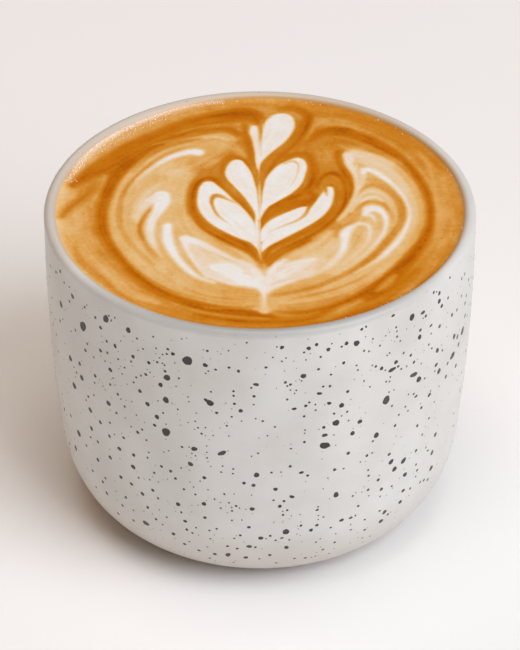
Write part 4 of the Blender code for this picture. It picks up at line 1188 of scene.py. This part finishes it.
def crema_and_milk(settings):
    """Espresso crema with steamed milk poured through it: a satin foam of bubbles too fine to see.

    The painted tone picks the colour from dark crema to milk, and clouds, pits and froth break it up.
    """
    material, tree, shader = new_material("crema_and_milk_microfoam")
    place = add(tree, "ShaderNodeTexCoord").outputs["Object"]
    tone = add(tree, "ShaderNodeAttribute", attribute_name="milk").outputs["Fac"]
    froth = add(tree, "ShaderNodeAttribute", attribute_name="froth").outputs["Fac"]
    # clouds and mottling shift the tone, less so in the milk
    mottle = add(tree, "ShaderNodeTexNoise", {
        "Vector": place, "Scale": 1 / (0.8 * MM), "Detail": 3.0, "Roughness": 0.65})
    shift = add(tree, "ShaderNodeMapRange", {
        "Value": mottle, "From Min": 0.25, "From Max": 0.75, "To Min": -0.055, "To Max": 0.055})
    cloud = add(tree, "ShaderNodeTexNoise", {"Vector": place, "Scale": 1 / (4 * MM), "Detail": 2.0})
    drift = add(tree, "ShaderNodeMapRange", {
        "Value": cloud, "From Min": 0.3, "From Max": 0.7, "To Min": -0.05, "To Max": 0.05})
    both = add(tree, "ShaderNodeMath", {0: drift, 1: shift}, operation="ADD")
    calm = add(tree, "ShaderNodeMapRange", {
        "Value": tone, "From Min": 0.8, "From Max": 0.97, "To Min": 1.0, "To Max": 0.4})
    broken = add(tree, "ShaderNodeMath", {0: both, 1: calm, 2: tone}, operation="MULTIPLY_ADD")
    ramp = add(tree, "ShaderNodeValToRGB", {"Fac": broken})
    elements = ramp.color_ramp.elements
    while len(elements) < len(CREMA_TONES):
        elements.new(0.5)
    for element, (position, colour) in zip(elements, CREMA_TONES):
        element.position = position
        element.color = (*getattr(settings, colour), 1.0)
    # pits: burst bubbles in some cells of 0.8 mm, gathered by a slow noise and kept out of the milk
    cells = add(tree, "ShaderNodeTexVoronoi", {"Vector": place, "Scale": 1 / (0.8 * MM)})
    cell_random = add(tree, "ShaderNodeSeparateColor", {"Color": cells.outputs["Color"]})
    gather = add(tree, "ShaderNodeTexNoise", {"Vector": place, "Scale": 1 / (6 * MM), "Detail": 1.0})
    chance = add(tree, "ShaderNodeMath", {0: cell_random, 1: gather}, operation="MULTIPLY")
    radius = add(tree, "ShaderNodeMapRange", {
        "Value": chance, "From Min": 0.37, "From Max": 0.56, "To Max": 0.21})
    inside = add(tree, "ShaderNodeMath", {0: radius, 1: cells}, operation="SUBTRACT")
    pit = add(tree, "ShaderNodeMapRange", {"Value": inside, "From Max": 0.10, "To Max": 0.85})
    in_crema = add(tree, "ShaderNodeMapRange", {
        "Value": tone, "From Min": 0.45, "From Max": 0.75, "To Min": 1.0, "To Max": 0.15})
    pitted = add(tree, "ShaderNodeMath", {0: pit, 1: in_crema}, operation="MULTIPLY")
    dark = add(tree, "ShaderNodeMix", {
        MIX_FACTOR: pitted, MIX_A: ramp, MIX_B: settings.pit}, data_type="RGBA")
    # froth: bubbles of about 0.5 mm, with a painted highlight on top of each and painted shade between
    bubbles = add(tree, "ShaderNodeTexVoronoi", {"Vector": place, "Scale": 1 / (0.5 * MM)})
    bubble_top_light = add(tree, "ShaderNodeMapRange", {
        "Value": bubbles, "From Min": 0.15, "From Max": 0.65, "To Min": 1.0, "To Max": 0.45})
    lit = add(tree, "ShaderNodeMath", {0: bubble_top_light, 1: froth}, operation="MULTIPLY")
    surface = add(tree, "ShaderNodeMix", {
        MIX_FACTOR: lit, MIX_A: dark, MIX_B: settings.froth}, data_type="RGBA")
    gloss = add(tree, "ShaderNodeMapRange", {"Value": tone, "To Min": 0.34, "To Max": 0.55})
    fine = add(tree, "ShaderNodeTexNoise", {"Vector": place, "Scale": 1 / (0.35 * MM), "Detail": 2.0})
    low = add(tree, "ShaderNodeMath", {0: pit, 1: -0.6, 2: fine}, operation="MULTIPLY_ADD")
    height = add(tree, "ShaderNodeMath", {0: lit, 1: 2.0, 2: low}, operation="MULTIPLY_ADD")
    bump = add(tree, "ShaderNodeBump", {"Height": height, "Strength": 0.4, "Distance": 0.05 * MM})
    fill(shader, {
        "Base Color": surface, "Roughness": gloss, "IOR": 1.36, "Specular IOR Level": 0.3, "Normal": bump})
    return material


class CAPPUCCINO_OT_drink(bpy.types.Operator):
    """Fills the cup and pours the leaf into the crema"""
    bl_idname = "cappuccino.drink"
    bl_label = "Pour the drink"

    def execute(self, context):
        settings = context.scene.cappuccino.drink
        section = Section(context.scene.cappuccino.cup)
        surface = drink_surface_profile(section, settings)
        body = section.inside(-WALL_BITE, settings.level - BODY_TOP, wall_steps=3, shoulder_steps=6)
        shape = spun(surface + body[::-1], DRINK_SEGMENTS)
        piece = keep("poured_cappuccino", shape, [crema_and_milk(settings)], "cappuccino")
        places = np.empty(3 * len(piece.data.vertices), np.float32)
        piece.data.vertices.foreach_get("co", places)
        places = places.reshape(-1, 3)
        on_top = places[:, 2] > settings.level - SURFACE_DEPTH
        x, y = places[on_top, :2].T / MM
        tone = np.full(len(places), GROUND_TONE, np.float32)
        tone[on_top] = poured_tone(x, y)
        store(piece, "milk", tone)
        froth = np.zeros(len(places), np.float32)
        froth[on_top] = froth_share(x, y)
        store(piece, "froth", froth)
        places[on_top, 2] += FOAM_WAVE * value_noise(x / FOAM_WAVE_LENGTH, y / FOAM_WAVE_LENGTH, FOAM_SEED)
        move_points(piece, places)
        return {"FINISHED"}


# ---------------------------------------------------------------- the froth's bubbles


BUBBLE_BALL = (8, 5)  # sides and rings
BUBBLE_TRIES = 40000
BUBBLE_BAND = (36.0, 40.7)  # mm from the axis
BUBBLE_SINK = 0.35  # how much of its radius a bubble sinks
BUBBLE_GAP = 0.02  # mm between two bubbles
WALL_BAND = 39.4  # mm from the axis, beyond which a few bubbles hang on the wall
WALL_CHANCE = 0.02
BUBBLE_LEAST, BUBBLE_SPREAD, BUBBLE_TAIL, BUBBLE_MOST = 0.07, 0.05, 0.6, 0.24  # radii in mm


def bubble_film(settings):
    """The thin, wet skin of a milk bubble: cream with a bright glint on it."""
    material, _, shader = new_material("milk_bubble_film")
    fill(shader, {
        "Base Color": settings.froth, "Roughness": 0.12, "IOR": 1.4,
        "Coat Weight": 1.0, "Coat Roughness": 0.05, "Coat IOR": 1.7})
    return material


def bubble_places(settings):
    """Middles and radii in mm: crowded in the froth, and a few along the rest of the wall."""
    draw = np.random.default_rng(settings.seed)
    reach = draw.uniform(*BUBBLE_BAND, BUBBLE_TRIES)
    angle = draw.uniform(0, math.tau, BUBBLE_TRIES)
    x, y = reach * np.cos(angle), reach * np.sin(angle)
    chance = froth_share(x, y) + WALL_CHANCE * (reach > WALL_BAND)
    spread = BUBBLE_SPREAD * np.exp(draw.normal(0.0, BUBBLE_TAIL, BUBBLE_TRIES))
    radii = np.minimum(BUBBLE_MOST, BUBBLE_LEAST + spread)
    wanted = draw.random(BUBBLE_TRIES) < chance
    found = np.empty((0, 3))
    for bubble in np.stack([x, y, radii], axis=1)[wanted]:
        if len(found) >= settings.bubble_count:
            break
        apart = np.hypot(*(found[:, :2] - bubble[:2]).T)
        if np.all(apart > found[:, 2] + bubble[2] + BUBBLE_GAP):
            found = np.vstack([found, bubble])
    return found


class CAPPUCCINO_OT_bubbles(bpy.types.Operator):
    """Blows the froth's larger bubbles, on the drink beside the wall"""
    bl_idname = "cappuccino.bubbles"
    bl_label = "Blow the bubbles"

    def execute(self, context):
        settings = context.scene.cappuccino.drink
        surface = drink_surface_profile(Section(context.scene.cappuccino.cup), settings)
        radii, heights = np.array(surface[:-1]).T
        bubbles = bubble_places(settings) * MM
        if not len(bubbles):
            raise RuntimeError("no bubble found a place in the froth")
        template, ball = ball_template(*BUBBLE_BALL)
        shape = bmesh.new()
        places = []
        for x, y, radius in bubbles:
            shape.from_mesh(template)
            height = np.interp(math.hypot(x, y), radii, heights) - BUBBLE_SINK * radius
            places.append(ball * radius + (x, y, height))
        bpy.data.meshes.remove(template)
        piece = keep("froth_bubbles", shape, [bubble_film(settings)], smooth_angle=80)
        move_points(piece, np.concatenate(places))
        return {"FINISHED"}


# ---------------------------------------------------------------- the stage


FLOOR_HALF = 4.0
SENSOR_WIDTH = 36.0
NEAREST = 0.01
ROOM_STRENGTH = 0.14
LIGHT_DISTANCE = 2.4
LIGHTS = (
    # name, setting of its colour, degrees round from the camera's side to the right, elevation in
    # degrees, metres wide, watts
    ("key_softbox", "key", 52, 45, 1.7, 45),
    ("overhead_softbox", "overhead", 0, 85, 1.4, 22),
    ("warm_bounce", "fill", -130, 45, 1.4, 4.4),
)


def matt_floor(settings):
    """Pale matt board with a faint tooth."""
    material, tree, shader = new_material("pale_matt_board")
    place = add(tree, "ShaderNodeTexCoord").outputs["Object"]
    tooth = add(tree, "ShaderNodeTexNoise", {"Vector": place, "Scale": 1 / (2 * MM), "Detail": 2.0})
    bump = add(tree, "ShaderNodeBump", {"Height": tooth, "Strength": 0.1, "Distance": 0.1 * MM})
    fill(shader, {
        "Base Color": settings.floor, "Roughness": 0.9, "Specular IOR Level": 0.2, "Normal": bump})
    return material


def soft_light(name, colour, degrees_right, elevation, size, energy, aim):
    """A square area light that is turned to the cup."""
    lamp = bpy.data.lights.new(name, "AREA")
    lamp.shape = "SQUARE"
    lamp.size = size
    lamp.energy = energy
    lamp.color = colour
    angle, up = math.radians(degrees_right), math.radians(elevation)
    towards = Vector((math.sin(angle) * math.cos(up), -math.cos(angle) * math.cos(up), math.sin(up)))
    made = bpy.data.objects.new(name, lamp)
    made.location = aim + towards * LIGHT_DISTANCE
    made.rotation_euler = (-towards).to_track_quat("-Z", "Y").to_euler()
    bpy.context.scene.collection.objects.link(made)


class CAPPUCCINO_OT_stage(bpy.types.Operator):
    """Sets up the pale floor, the soft lights and the camera"""
    bl_idname = "cappuccino.stage"
    bl_label = "Set the stage"

    def execute(self, context):
        scene = context.scene
        settings = scene.cappuccino.stage
        shape = bmesh.new()
        bmesh.ops.create_grid(shape, x_segments=1, y_segments=1, size=FLOOR_HALF)
        mesh = as_mesh("floor", shape)
        mesh.materials.append(matt_floor(settings))
        floor = bpy.data.objects.new("floor", mesh)
        scene.collection.objects.link(floor)

        aim = Vector((0, 0, settings.aim_height))
        for name, colour, *placing in LIGHTS:
            soft_light(name, getattr(settings, colour), *placing, aim)

        world = bpy.data.worlds.new("room")
        world.use_nodes = True
        background = world.node_tree.nodes["Background"]
        fill(background, {"Color": settings.world, "Strength": ROOM_STRENGTH})
        scene.world = world
        scene.view_settings.view_transform = "Standard"

        lens = bpy.data.cameras.new("camera")
        lens.sensor_width = SENSOR_WIDTH
        lens.lens = settings.lens
        lens.clip_start = NEAREST
        camera = bpy.data.objects.new("camera", lens)
        up = settings.elevation
        camera.location = aim + settings.distance * Vector((0, -math.cos(up), math.sin(up)))
        camera.rotation_euler = (math.pi / 2 - up, 0, 0)
        scene.collection.objects.link(camera)
        scene.camera = camera
        return {"FINISHED"}


# ---------------------------------------------------------------- the add-on


STEPS = (
    # operator, and the settings that its box shows
    (CAPPUCCINO_OT_cup, "cup"),
    (CAPPUCCINO_OT_specks, "specks"),
    (CAPPUCCINO_OT_drink, "drink"),
    (CAPPUCCINO_OT_bubbles, None),
    (CAPPUCCINO_OT_stage, "stage"),
)


class CAPPUCCINO_PT_sidebar(bpy.types.Panel):
    """Lists the steps and their settings"""
    bl_label = "Cup of cappuccino"
    bl_space_type = "VIEW_3D"
    bl_region_type = "UI"
    bl_category = "Cappuccino"

    def draw(self, context):
        for step, group in STEPS:
            box = self.layout.box()
            box.operator(step.bl_idname)
            settings = getattr(context.scene.cappuccino, group) if group else None
            for name in type(settings).__annotations__ if settings else ():
                box.prop(settings, name)


REGISTERED = (
    CupSettings, SpeckSettings, DrinkSettings, StageSettings, CappuccinoSettings,
    *(step for step, _ in STEPS), CAPPUCCINO_PT_sidebar,
)


def register():
    for kind in REGISTERED:
        bpy.utils.register_class(kind)
    bpy.types.Scene.cappuccino = bpy.props.PointerProperty(type=CappuccinoSettings)


def unregister():
    del bpy.types.Scene.cappuccino
    for kind in reversed(REGISTERED):
        bpy.utils.unregister_class(kind)


def main():
    register()
    bpy.ops.cappuccino.stage()
    bpy.ops.cappuccino.cup()
    bpy.ops.cappuccino.specks()
    bpy.ops.cappuccino.drink()
    bpy.ops.cappuccino.bubbles()


if __name__ == "__main__":
    main()
